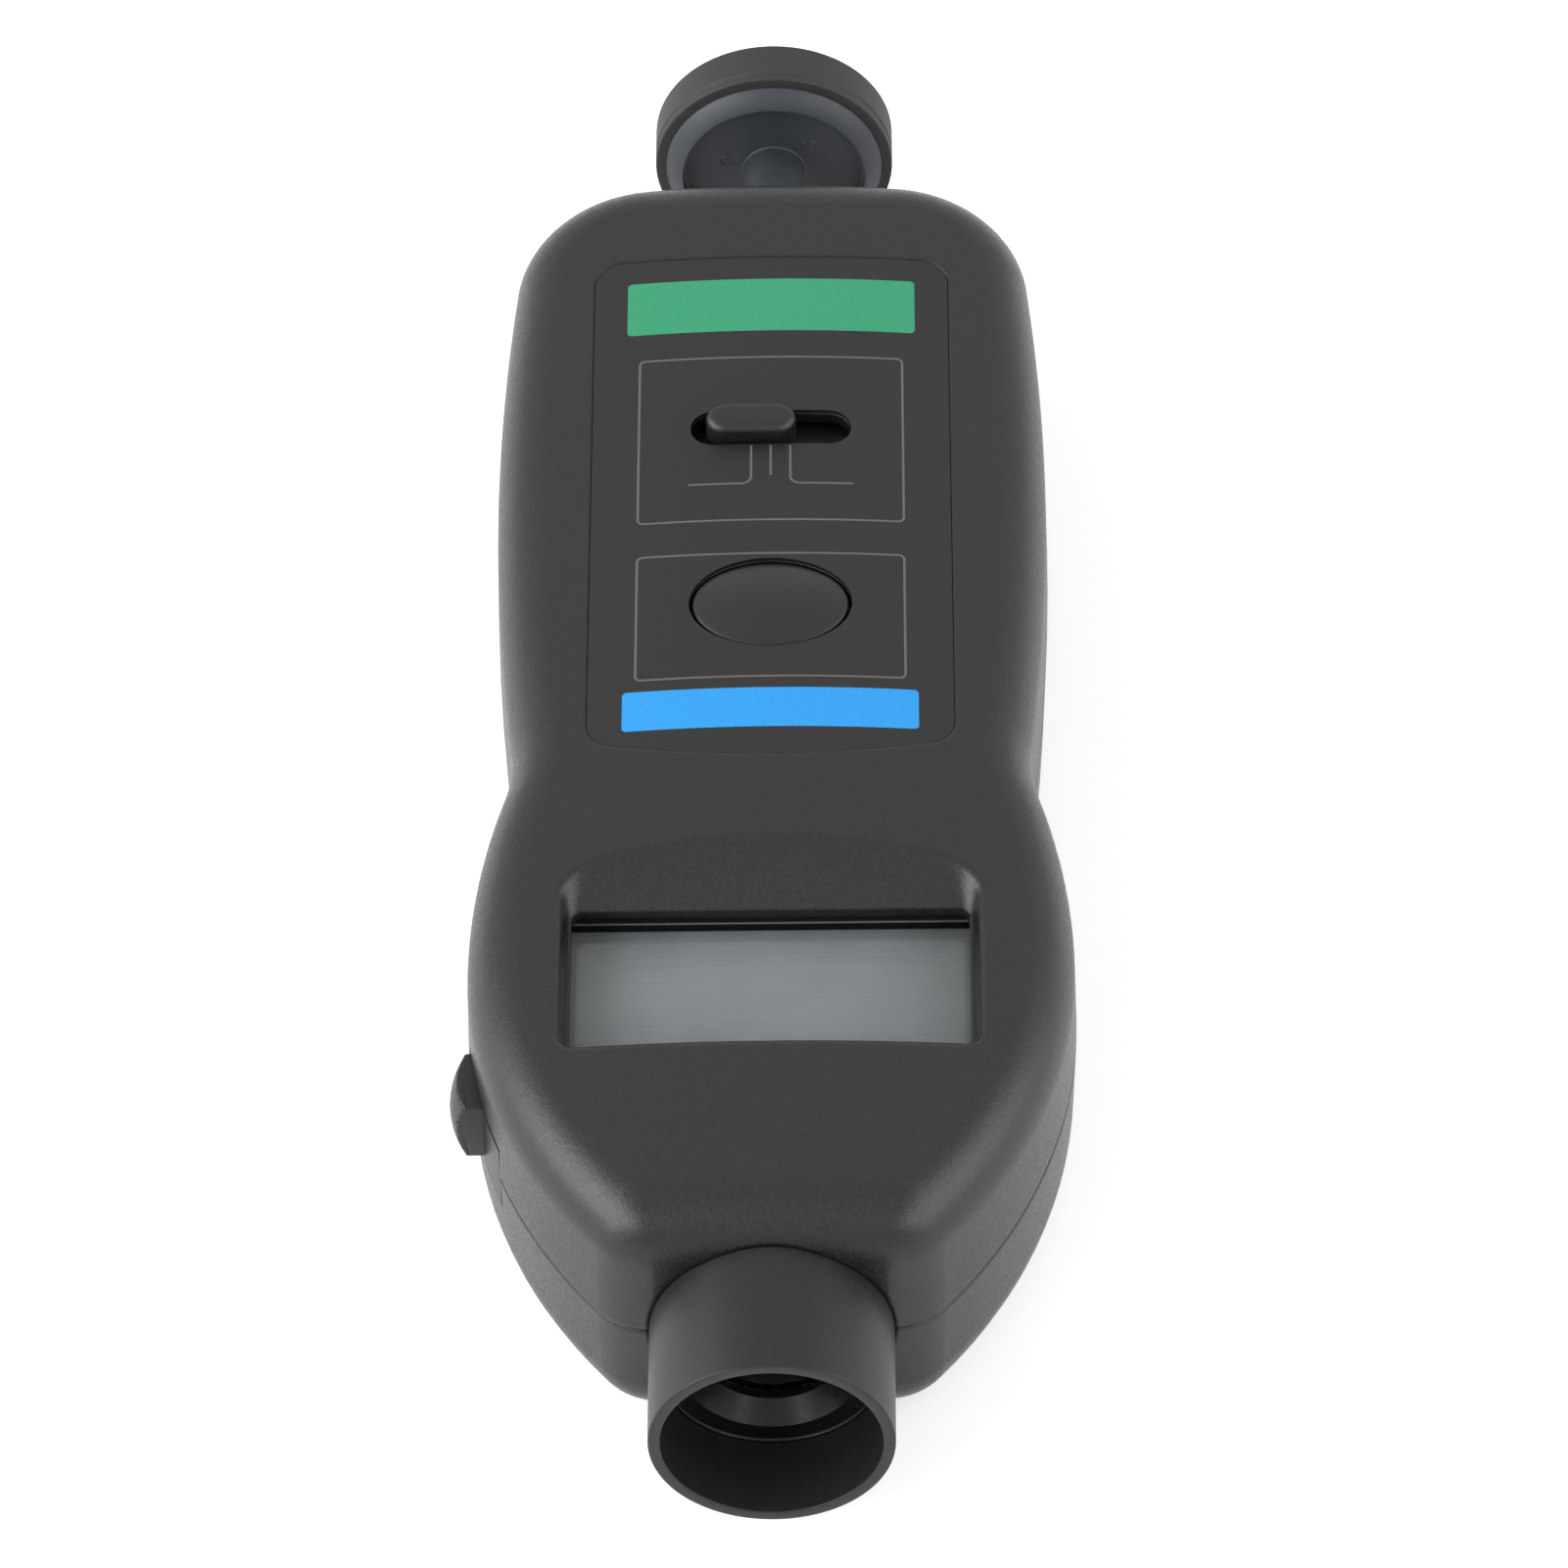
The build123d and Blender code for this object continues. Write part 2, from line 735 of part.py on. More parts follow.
def make_lens_tube():
    """Light tube with the seat for its lens and two collars that hold it in the housing."""
    bevel = tube_wall / 8
    inner_radius = tube_radius - tube_relief
    relief_y = nose_y - tube_relief_gap
    seat_in = lens_seat_y + lens_seat_length
    collar_a = tube_rib_y - part_gap - tube_collar_length
    collar_b = tube_rib_y + seat_rib + part_gap
    tube = turned(
        (rim_y + bevel, tube_bore_radius),
        (rim_y, tube_bore_radius + bevel),
        (rim_y, tube_radius - bevel),
        (rim_y + bevel, tube_radius),
        (relief_y, tube_radius),
        (relief_y, inner_radius),
        (collar_a, inner_radius),
        (collar_a, tube_collar_radius),
        (collar_a + tube_collar_length, tube_collar_radius),
        (collar_a + tube_collar_length, inner_radius),
        (collar_b, inner_radius),
        (collar_b, tube_collar_radius),
        (collar_b + tube_collar_length, tube_collar_radius),
        (collar_b + tube_collar_length, inner_radius),
        (tube_tail_y, inner_radius),
        (tube_tail_y, tube_bore_radius),
        (seat_in, tube_bore_radius),
        (seat_in, tube_bore_radius - lens_seat_lip),
        (lens_seat_y, tube_bore_radius - lens_seat_lip),
        (lens_seat_y, tube_bore_radius),
    )
    save(tube, "lens_tube")


def make_lens_ring():
    """Ring that holds the lens in the tube, with a bowl-shaped bore."""
    outer = tube_bore_radius - part_gap / 2
    bowl = ring_length / 2
    with BuildPart() as ring:
        with BuildSketch(side_plane):
            with BuildLine():
                Line((ring_y, ring_bore_radius), (ring_y, outer - ring_length / 5))
                Line((ring_y, outer - ring_length / 5), (ring_y + ring_length / 5, outer))
                Line((ring_y + ring_length / 5, outer), (lens_seat_y - lens_edge, outer))
                Line((lens_seat_y - lens_edge, outer), (lens_seat_y - lens_edge, lens_radius))
                Line((lens_seat_y - lens_edge, lens_radius), (lens_y, lens_radius - bowl))
                Line((lens_y, lens_radius - bowl), (lens_y, ring_bore_radius - bowl))
                RadiusArc((lens_y, ring_bore_radius - bowl), (ring_y, ring_bore_radius), -ring_length * 1.4)
            make_face()
        revolve(axis=spin_axis)
    save(ring.part, "lens_ring")


def make_front_lens():
    """Plano-convex lens, domed towards the mouth of the tube."""
    edge_y = lens_seat_y - lens_edge
    dome_radius = (lens_radius**2 + lens_dome**2) / (2 * lens_dome)
    apex_y = edge_y - lens_dome
    with BuildPart() as lens:
        with BuildSketch(side_plane):
            with BuildLine():
                Line((apex_y, 0), (lens_seat_y, 0))
                Line((lens_seat_y, 0), (lens_seat_y, lens_radius))
                Line((lens_seat_y, lens_radius), (edge_y, lens_radius))
                RadiusArc((edge_y, lens_radius), (apex_y, 0), -dome_radius)
            make_face()
        revolve(axis=spin_axis)
    save(lens.part, "front_lens")


def emitter_bore(side, radius, near_y, far_y):
    """Bar on the line of the light source or the detector."""
    with BuildPart() as bar:
        with BuildSketch(Plane.XZ.offset(-near_y)):
            with Locations((side * emitter_spacing / 2, axis_z)):
                Circle(radius)
        extrude(amount=near_y - far_y)
    return bar.part


def make_optics():
    """Holder, light source, detector and their board behind the lens."""
    holder_radius = tube_bore_radius - part_gap
    with BuildPart() as holder:
        add(rod(holder_y + part_gap, tube_tail_y, holder_radius))
        add(rod(tube_tail_y, sensor_board_y, tube_radius - part_gap))
        for side in (-1, 1):
            bore = emitter_bore(side, emitter_radius + part_gap, holder_y - 1, sensor_board_y + 1)
            add(bore, mode=Mode.SUBTRACT)
    save(holder.part, "optics_holder")

    for side, label in ((-1, "light_source"), (1, "light_detector")):
        tip_y = sensor_board_y - emitter_length
        body = emitter_bore(side, emitter_radius, tip_y, sensor_board_y)
        with BuildPart() as lamp:
            add(body)
            fillet(lamp.faces().sort_by(Axis.Y)[0].edges(), emitter_radius * 0.8)
        save(lamp.part, label)

    half = sensor_board_width / 2
    low_z = axis_z - sensor_board_height / 2
    board = block(
        (-half, half),
        (sensor_board_y, sensor_board_y + board_thickness),
        (low_z, low_z + sensor_board_height),
    )
    save(board, "sensor_board")

    start_y = sensor_board_y + board_thickness
    strip_z = board_z - ribbon_thickness / 2
    with BuildPart() as ribbon:
        with BuildSketch(Plane.YZ.offset(-ribbon_width / 2)):
            with BuildLine():
                FilletPolyline(
                    (start_y, axis_z - 2),
                    (start_y + 4, axis_z - 2),
                    (board_near_y - 2, strip_z),
                    (board_near_y + 6, strip_z),
                    radius=1.5,
                )
            trace(line_width=ribbon_thickness)
        extrude(amount=ribbon_width)
    save(ribbon.part, "sensor_ribbon")


def make_display():
    """Window pane, display glass, its frame and the two contact strips under it."""
    with BuildPart() as pane:
        with BuildSketch(Plane.XY.offset(pane_z)):
            with Locations((0, window_y)):
                RectangleRounded(pane_width, pane_length, window_corner_radius)
        extrude(amount=pane_thickness)
    save(pane.part, "display_window")

    with BuildPart() as glass:
        with BuildSketch(Plane.XY.offset(glass_z)):
            with Locations((0, window_y)):
                Rectangle(pane_width, pane_length)
        extrude(amount=glass_thickness / 2)
        with BuildSketch(Plane.XY.offset(glass_z + glass_thickness / 2)):
            with Locations((0, window_y)):
                Rectangle(pane_width, pane_length - zebra_width)
        extrude(amount=glass_thickness / 2)
    save(glass.part, "display_glass")

    with BuildPart() as frame:
        with BuildSketch(Plane.XY.offset(board_top_z)):
            with Locations((0, window_y)):
                RectangleRounded(display_frame_width, display_frame_length, window_corner_radius)
                Rectangle(pane_width + 2 * part_gap, pane_length + 2 * part_gap, mode=Mode.SUBTRACT)
        extrude(amount=floor_plate_z - part_gap - board_top_z)
    save(frame.part, "display_frame")

    strip_y = pane_length / 2 - zebra_width
    with BuildPart() as strips:
        with BuildSketch(Plane.XY.offset(board_top_z)):
            with Locations((0, window_y - strip_y), (0, window_y + strip_y)):
                Rectangle(pane_width - 2 * zebra_width, zebra_width)
        extrude(amount=glass_z - board_top_z)
    save(strips.part, "display_contacts")


def strip_region(centre_y, width, length, corner):
    """Rounded rectangle on the control panel."""
    with BuildSketch() as region:
        with Locations((0, centre_y)):
            RectangleRounded(width, length, corner)
    return region.sketch


def frame_region():
    """Printed frames and the lines that mark the switch positions, as one drawing."""
    line = frame_line
    with BuildSketch() as drawing:
        for centre_y, length in (
            (mode_frame_y, mode_frame_length),
            (memory_frame_y, memory_frame_length),
        ):
            with Locations((0, centre_y)):
                RectangleRounded(frame_width, length, frame_corner_radius)
                RectangleRounded(
                    frame_width - 2 * line,
                    length - 2 * line,
                    frame_corner_radius - line,
                    mode=Mode.SUBTRACT,
                )
        slot_edge_y = mode_y - slot_width / 2 - line
        with Locations((0, (slot_edge_y + mark_near_y) / 2)):
            Rectangle(line, slot_edge_y - mark_near_y)
        for side in (-1, 1):
            with BuildLine():
                FilletPolyline(
                    (side * mode_pitch, slot_edge_y),
                    (side * mode_pitch, mark_foot_y),
                    (side * (mode_pitch + mark_spread), mark_foot_y),
                    radius=1.2,
                )
            trace(line_width=line)
    return drawing.sketch


def make_control_panel():
    """Panel sheet in the front shell's recess, with its colour strips and printed lines."""
    green = strip_region(green_y, green_width, green_length, strip_corner_radius)
    blue = strip_region(blue_y, blue_width, blue_length, strip_corner_radius)
    lines = frame_region()
    print_top = -panel_sink
    with BuildPart() as panel:
        add(crown_sheet(panel_outline(part_gap), panel_thickness, -panel_sink))
        add(prism(slot_outline(), axis_z, top_z + 1), mode=Mode.SUBTRACT)
        add(prism(memory_outline(), axis_z, top_z + 1), mode=Mode.SUBTRACT)
        for region in (green, blue, lines):
            add(crown_sheet(region, print_depth + panel_sink, 1), mode=Mode.SUBTRACT)
    save(panel.part, "control_panel")
    save(crown_sheet(green, print_depth + panel_sink, print_top), "green_strip")
    save(crown_sheet(blue, print_depth + panel_sink, print_top), "blue_strip")
    save(crown_sheet(lines, print_depth + panel_sink, print_top), "panel_lines")


def make_mode_switch():
    """Knob with its cover plate and fork, the slide switch it works, and that switch's lever."""
    ceiling_drop = (knob_plate_length / 2 + mode_travel) ** 2 / (2 * crown_radius)
    plate_top = top_z - wall - ceiling_drop - lift_gap
    plate_low = plate_top - knob_plate_thickness
    lever_top = board_top_z + switch_height + lever_height
    fork_low = lever_top - 2
    with BuildPart() as knob:
        with BuildSketch(Plane.XY.offset(plate_low)):
            with Locations((knob_x, mode_y)):
                RectangleRounded(knob_plate_length, knob_plate_width, 1)
        extrude(amount=knob_plate_thickness)
        with BuildSketch(Plane.XY.offset(plate_low)):
            with Locations((knob_x, mode_y)):
                RectangleRounded(knob_length, knob_width, knob_width / 2 - 0.05)
        extrude(amount=top_z + knob_rise - plate_low)
        fillet(knob.faces().sort_by(Axis.Z)[-1].edges(), knob_round)
        fork_half = lever_length / 2 + part_gap + fork_wall
        with BuildSketch(Plane.XY.offset(fork_low)):
            with Locations((knob_x, mode_y)):
                Rectangle(2 * fork_half, lever_width + 1)
                Rectangle(lever_length + 2 * part_gap, lever_width + 1, mode=Mode.SUBTRACT)
        extrude(amount=plate_low - fork_low)
    save(knob.part, "mode_knob")

    half_length = switch_length / 2
    half_width = switch_width / 2
    lever_slot = (lever_length + mode_travel) / 2 + slip_gap
    with BuildPart() as switch:
        add(
            block(
                (-half_length, half_length),
                (mode_y - half_width, mode_y + half_width),
                (board_top_z, board_top_z + switch_height),
            )
        )
        with BuildSketch(Plane.XY.offset(board_top_z + switch_height - 1.5)):
            with Locations((0, mode_y)):
                Rectangle(2 * lever_slot, lever_width + 2 * slip_gap)
        extrude(amount=3, mode=Mode.SUBTRACT)
    save(switch.part, "slide_switch")

    lever = block(
        (knob_x - lever_length / 2, knob_x + lever_length / 2),
        (mode_y - lever_width / 2, mode_y + lever_width / 2),
        (board_top_z + switch_height - 1.5 + slip_gap, lever_top - slip_gap),
    )
    save(lever, "switch_lever")


def tact_switch(plane):
    """Square push switch standing on a plane, with its plunger."""
    with BuildPart() as switch:
        with BuildSketch(plane):
            RectangleRounded(tact_size, tact_size, 0.5)
        extrude(amount=tact_height)
        with BuildSketch(plane.offset(tact_height)):
            Circle(tact_plunger_radius)
        extrude(amount=tact_plunger_height)
    return switch.part


def make_memory_button():
    """Oval domed button on a stem, held in by a flange, and the push switch under it."""
    button_half_width = memory_half_width - memory_gap
    edge_z = top_z - button_half_width**2 / (2 * crown_radius) - memory_edge_drop
    crest_z = edge_z + memory_dome
    dome_radius = (button_half_width**2 + memory_dome**2) / (2 * memory_dome)
    flange_half_width = memory_half_width + memory_flange
    flange_top = top_z - wall - flange_half_width**2 / (2 * crown_radius) - lift_gap
    tact_top = board_top_z + tact_height + tact_plunger_height
    with BuildPart() as button:
        add(prism(memory_outline(-memory_gap), flange_top - 1, top_z + memory_dome))
        with BuildSketch(Plane.XZ.offset(-memory_y)):
            with Locations((0, crest_z - dome_radius)):
                Circle(dome_radius)
        extrude(amount=memory_half_length, both=True, mode=Mode.INTERSECT)
        with BuildSketch(Plane.YZ):
            with Locations((memory_y, crest_z - dome_radius)):
                Circle(dome_radius)
        extrude(amount=memory_half_width, both=True, mode=Mode.INTERSECT)
        add(prism(memory_outline(memory_flange), flange_top - memory_flange_thickness, flange_top))
        stem_low = tact_top + memory_travel + tact_rest_gap
        stem_top = flange_top - memory_flange_thickness
        add(posts([(0, memory_y)], memory_stem_radius, stem_low, stem_top))
    save(button.part, "memory_button")
    switch_plane = Plane(origin=(0, memory_y, board_top_z))
    save(tact_switch(switch_plane), "memory_switch")


def make_measure_button():
    """Side button with a notched, convex face, a curved flange behind the wall and a stem."""
    near_y = measure_y - measure_length / 2
    far_y = measure_y + measure_length / 2
    switch_x = -board_half_width + tact_height + tact_plunger_height
    stem_x = -board_half_width - measure_travel - tact_rest_gap
    inner_x = stem_x - 1
    flank_x = max_half_width - flank_radius + sqrt(flank_radius**2 - measure_y**2)
    crest_x = -flank_x - measure_rise
    notch_y = measure_y - measure_notch_shift
    flange_y = (near_y - measure_flange / 2, far_y + measure_flange)
    flange_z = measure_half_height + measure_flange
    with BuildPart() as flange:
        add(prism(body_outline(wall + lift_gap), axis_z - flange_z, axis_z + flange_z))
        hollow = body_outline(wall + lift_gap + measure_flange_thickness)
        add(prism(hollow, axis_z - flange_z, axis_z + flange_z), mode=Mode.SUBTRACT)
        reach = (-max_half_width, inner_x)
        cage = block(reach, flange_y, (axis_z - flange_z, axis_z + flange_z))
        add(cage, mode=Mode.INTERSECT)
    near_corner = (crest_x + measure_near_drop, near_y)
    notch = (crest_x + measure_notch, notch_y)
    with BuildPart() as button:
        with BuildSketch(Plane.XY.offset(axis_z - measure_half_height)) as face:
            with BuildLine():
                far_lobe = ThreePointArc(
                    (crest_x + measure_far_drop, far_y),
                    (crest_x, (far_y + notch_y) / 2),
                    notch,
                )
                ThreePointArc(
                    notch,
                    (crest_x + measure_notch / 2, (near_y + notch_y) / 2),
                    near_corner,
                )
                Polyline(near_corner, (inner_x, near_y), (inner_x, far_y), far_lobe @ 0)
            make_face()
            fillet(face.vertices().filter_by(lambda v: v.X < near_corner[0] + 0.5), measure_round)
        extrude(amount=2 * measure_half_height)
        rims = button.faces().filter_by(Plane.XY).edges()
        fillet(rims.filter_by(lambda e: e.center().X < inner_x - 0.5), measure_round * 0.9)
        trim = prism(body_outline(wall + lift_gap + measure_flange_thickness), 0, top_z)
        add(trim, mode=Mode.SUBTRACT)
        add(flange.part)
        with BuildSketch(Plane.YZ.offset(stem_x)):
            with Locations((measure_y, axis_z)):
                Circle(memory_stem_radius)
        extrude(amount=inner_x - wall - stem_x)
    save(button.part, "measure_button")
    switch_z = board_z - tact_size / 2
    switch_plane = Plane(origin=(switch_x, measure_y, switch_z), x_dir=(0, 1, 0), z_dir=(-1, 0, 0))
    save(tact_switch(switch_plane), "measure_switch")


def make_main_board():
    """Main circuit board, its chips and the four screws that hold it to the front shell."""
    with BuildPart() as board:
        with BuildSketch(Plane.XY.offset(board_z)):
            with Locations((0, (board_near_y + board_far_y) / 2)):
                length = board_far_y - board_near_y
                RectangleRounded(2 * board_half_width, length, board_corner_radius)
            with Locations(*board_screw_places()):
                Circle(board_screw_radius + part_gap, mode=Mode.SUBTRACT)
        extrude(amount=board_thickness)
    save(board.part, "main_board")

    with BuildPart() as chips:
        with BuildSketch(Plane.XY.offset(board_top_z)):
            with Locations((0, 32)):
                Rectangle(14, 14)
            with Locations((-14, 70), (14, 70)):
                Rectangle(6, 9)
        extrude(amount=2)
        with BuildSketch(Plane.XY.offset(board_top_z)):
            with Locations((15, 44)):
                SlotOverall(10, 4.6)
        extrude(amount=3.5)
    save(chips.part, "board_chips")

    head_z = board_z - board_screw_head_height
    with BuildPart() as screws:
        add(posts(board_screw_places(), board_screw_head_radius, head_z, board_z))
        add(posts(board_screw_places(), board_screw_radius, board_z, board_z + board_screw_length))
    save(screws.part, "board_screws")


def cell_places():
    """Centre lines of the cells across the bay."""
    return [(i - (cell_count - 1) / 2) * cell_pitch for i in range(cell_count)]


def contact_plates(places, wall_y, inward):
    """Flat contacts on one end wall of the bay."""
    group = None
    with BuildPart() as group:
        with BuildSketch(Plane.XZ.offset(-wall_y)):
            with Locations(*[(x, cell_z) for x in places]):
                Rectangle(contact_width, contact_width)
        extrude(amount=-inward * contact_thickness)
    return group.part


def make_batteries():
    """Cells laid side by side in turn, with flat contacts at one end and leaf springs at the other."""
    near_face = bay_near_y + part_gap
    far_face = bay_far_y - part_gap
    flat_near = [x for i, x in enumerate(cell_places()) if i % 2 == 0]
    flat_far = [x for i, x in enumerate(cell_places()) if i % 2 == 1]

    for i, x in enumerate(cell_places()):
        nub_first = i % 2 == 0
        start = near_face + contact_thickness if nub_first else far_face - contact_thickness
        run = 1 if nub_first else -1
        with BuildPart() as cell:
            with BuildSketch(Plane.XZ.offset(-start)):
                with Locations((x, cell_z)):
                    Circle(cell_nub_radius)
            extrude(amount=-run * cell_nub_length)
            with BuildSketch(Plane.XZ.offset(-start - run * cell_nub_length)):
                with Locations((x, cell_z)):
                    Circle(cell_radius)
            extrude(amount=-run * cell_length)
        save(cell.part, f"battery_{i + 1}")

    with BuildPart() as plates:
        add(contact_plates(flat_near, near_face, 1))
        add(contact_plates(flat_far, far_face, -1))
    save(plates.part, "contact_plates")

    with BuildPart() as springs:
        add(contact_plates(flat_near, far_face, -1))
        add(contact_plates(flat_far, near_face, 1))
        for places, face_y, run in ((flat_near, far_face, -1), (flat_far, near_face, 1)):
            root = face_y + run * contact_thickness
            for x in places:
                with BuildSketch(Plane.YZ.offset(x - leaf_width / 2)):
                    with BuildLine():
                        FilletPolyline(
                            (root, cell_z + contact_width / 3),
                            (root + run * (spring_room - contact_thickness), cell_z + 1),
                            (root + run * contact_thickness, cell_z - contact_width / 3),
                            radius=1,
                        )
                    trace(line_width=contact_thickness)
                extrude(amount=leaf_width)
    save(springs.part, "contact_springs")


def make_bearings():
    """Bearing block in the far end and the two bushes that carry the spindle."""
    collar_a = block_rib_y - part_gap - block_collar_length
    collar_b = block_rib_y + seat_rib + part_gap
    bush_seat = bush_radius + part_gap / 5
    relief = shaft_radius + block_relief
    bearing_block = turned(
        (block_near_y, bush_seat),
        (block_near_y, block_radius),
        (collar_a, block_radius),
        (collar_a, block_collar_radius),
        (collar_a + block_collar_length, block_collar_radius),
        (collar_a + block_collar_length, block_radius),
        (collar_b, block_radius),
        (collar_b, block_collar_radius),
        (collar_b + block_collar_length, block_collar_radius),
        (collar_b + block_collar_length, block_radius),
        (block_far_y, block_radius),
        (block_far_y, bush_seat),
        (block_far_y - bush_length, bush_seat),
        (block_far_y - bush_length, relief),
        (block_near_y + bush_length, relief),
        (block_near_y + bush_length, bush_seat),
    )
    save(bearing_block, "bearing_block")
    for label, near_y in (
        ("inner_bush", block_near_y),
        ("outer_bush", block_far_y - bush_length),
    ):
        bore = shaft_radius + bearing_gap
        far_y = near_y + bush_length
        bush = turned((near_y, bore), (near_y, bush_radius), (far_y, bush_radius), (far_y, bore))
        save(bush, label)


def make_spindle():
    """Shaft with a shoulder, a clip groove and a driving flat, its clip and the slotted disc."""
    clip_y = block_near_y - slip_gap - clip_thickness
    neck = shaft_radius - clip_groove
    bevel = clip_groove
    with BuildPart() as shaft:
        add(
            turned(
                (shaft_inner_y, 0),
                (shaft_inner_y, shaft_radius),
                (clip_y, shaft_radius),
                (clip_y, neck),
                (clip_y + clip_thickness, neck),
                (clip_y + clip_thickness, shaft_radius),
                (shoulder_y, shaft_radius),
                (shoulder_y, shaft_shoulder_radius),
                (shoulder_y + shaft_shoulder_length, shaft_shoulder_radius),
                (shoulder_y + shaft_shoulder_length, shaft_radius),
                (shaft_end_y - bevel, shaft_radius),
                (shaft_end_y, shaft_radius - bevel),
                (shaft_end_y, 0),
            )
        )
        flat_z = axis_z + shaft_radius - shaft_flat
        flat_span = (boss_near_y, shaft_end_y + 1)
        cutter = block((-shaft_radius, shaft_radius), flat_span, (flat_z, axis_z + 2 * shaft_radius))
        add(cutter, mode=Mode.SUBTRACT)
    save(shaft.part, "contact_shaft")

    with BuildPart() as clip:
        add(rod(clip_y, clip_y + clip_thickness, clip_radius))
        add(rod(clip_y, clip_y + clip_thickness, neck + part_gap / 5), mode=Mode.SUBTRACT)
        mouth = block((-neck, neck), (clip_y, clip_y + clip_thickness), (0, axis_z))
        add(mouth, mode=Mode.SUBTRACT)
    save(clip.part, "shaft_clip")

    with BuildPart() as disc:
        add(rod(disc_y, disc_y + disc_thickness, disc_radius))
        add(rod(disc_y, disc_y + disc_thickness + disc_hub_length, disc_hub_radius))
        bore_end = disc_y + disc_thickness + disc_hub_length
        add(rod(disc_y, bore_end, shaft_radius + part_gap / 5), mode=Mode.SUBTRACT)
        with BuildSketch(Plane(origin=(0, disc_y, axis_z), x_dir=(1, 0, 0), z_dir=(0, 1, 0))):
            with PolarLocations((disc_slot_in + disc_slot_out) / 2, disc_slot_count):
                Rectangle(disc_slot_out - disc_slot_in, disc_slot_width)
        extrude(amount=disc_thickness, mode=Mode.SUBTRACT)
    save(disc.part, "encoder_disc")


def make_reader():
    """Fork-shaped light gate around the slotted disc, on a small board of its own."""
    board_low = wall + reader_peg_height
    gate_low = board_low + reader_board_thickness
    slot_low = gate_low + reader_foot
    gate_top = axis_z - disc_hub_radius - 1
    middle = disc_y + disc_thickness / 2
    half_gap = reader_gap / 2
    half_width = reader_width / 2
    outer = half_gap + reader_wall
    half_board = reader_board_width / 2
    half_length = reader_board_length / 2
    with BuildPart() as gate:
        add(block((-half_width, half_width), (middle - outer, middle + outer), (gate_low, gate_top)))
        slot = block(
            (-half_width, half_width),
            (middle - half_gap, middle + half_gap),
            (slot_low, gate_top),
        )
        add(slot, mode=Mode.SUBTRACT)
    save(gate.part, "encoder_reader")
    board = block(
        (-half_board, half_board),
        (middle - half_length, middle + half_length),
        (board_low, gate_low),
    )
    save(board, "reader_board")


def make_wheel():
    """Surface wheel: a dished hub on a long boss, and the grooved tyre round it."""
    rim_radius = wheel_radius - tyre_depth
    ring_y_near = hub_face_y - hub_ring_rise
    lip_y = tyre_near_y
    far_ring = rim_radius - tyre_depth / 2
    far_face = tyre_far_y - tyre_edge_round
    boss_bevel = 0.3
    with BuildPart() as hub:
        with BuildSketch(side_plane):
            with BuildLine():
                Polyline(
                    (boss_near_y, 0),
                    (boss_near_y, hub_boss_radius - boss_bevel),
                    (boss_near_y + boss_bevel, hub_boss_radius),
                    (web_y, hub_boss_radius + hub_boss_gap),
                    (web_y, hub_ring_in),
                    (ring_y_near, hub_ring_in),
                    (hub_face_y, hub_lip_radius),
                    (lip_y, hub_lip_radius),
                    (lip_y, rim_radius),
                    (far_face, rim_radius),
                    (far_face, far_ring),
                    (web_far_y, far_ring),
                    (web_far_y, 0),
                    close=True,
                )
            make_face()
        revolve(axis=spin_axis)
        bore = shaft_radius + bearing_gap
        add(rod(boss_near_y, hub_bore_end_y, bore), mode=Mode.SUBTRACT)
        with BuildSketch(Plane(origin=(0, web_y - 1, axis_z), x_dir=(1, 0, 0), z_dir=(0, 1, 0))):
            with PolarLocations(hub_hole_circle, hub_hole_count, -hub_hole_turn):
                Circle(hub_hole_radius)
        extrude(amount=hub_web + 2, mode=Mode.SUBTRACT)
        key_z = axis_z + shaft_radius - shaft_flat + bearing_gap
        key = block((-bore, bore), (boss_near_y + 1, hub_bore_end_y), (key_z, axis_z + bore))
        add(key)
    save(hub.part, "wheel_hub")

    inner = rim_radius + part_gap / 5
    groove_at = tyre_near_y + tyre_groove_y
    tyre = turned(
        (tyre_near_y, inner),
        (tyre_near_y, wheel_radius - tyre_edge_round / 2),
        (tyre_near_y + tyre_edge_round / 2, wheel_radius),
        (groove_at - tyre_groove / 2, wheel_radius),
        (groove_at, wheel_radius - tyre_groove),
        (groove_at + tyre_groove / 2, wheel_radius),
        (tyre_far_y - tyre_edge_round, wheel_radius),
        (tyre_far_y, wheel_radius - tyre_edge_round),
        (tyre_far_y, inner),
    )
    save(tyre, "wheel_tyre")


make_front_shell()
make_rear_shell()
make_battery_cover()
make_housing_screws()
make_lens_tube()
make_lens_ring()
make_front_lens()
make_optics()
make_display()
make_control_panel()
make_mode_switch()
make_memory_button()
make_measure_button()
make_main_board()
make_batteries()
make_bearings()
make_spindle()
make_reader()
make_wheel()
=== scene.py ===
import json
from math import asin, cos, pi, radians, sin, sqrt

import bpy
from bpy.props import FloatProperty, FloatVectorProperty, IntProperty, PointerProperty
from bpy.types import Operator, Panel, PropertyGroup
from mathutils import Matrix, Vector

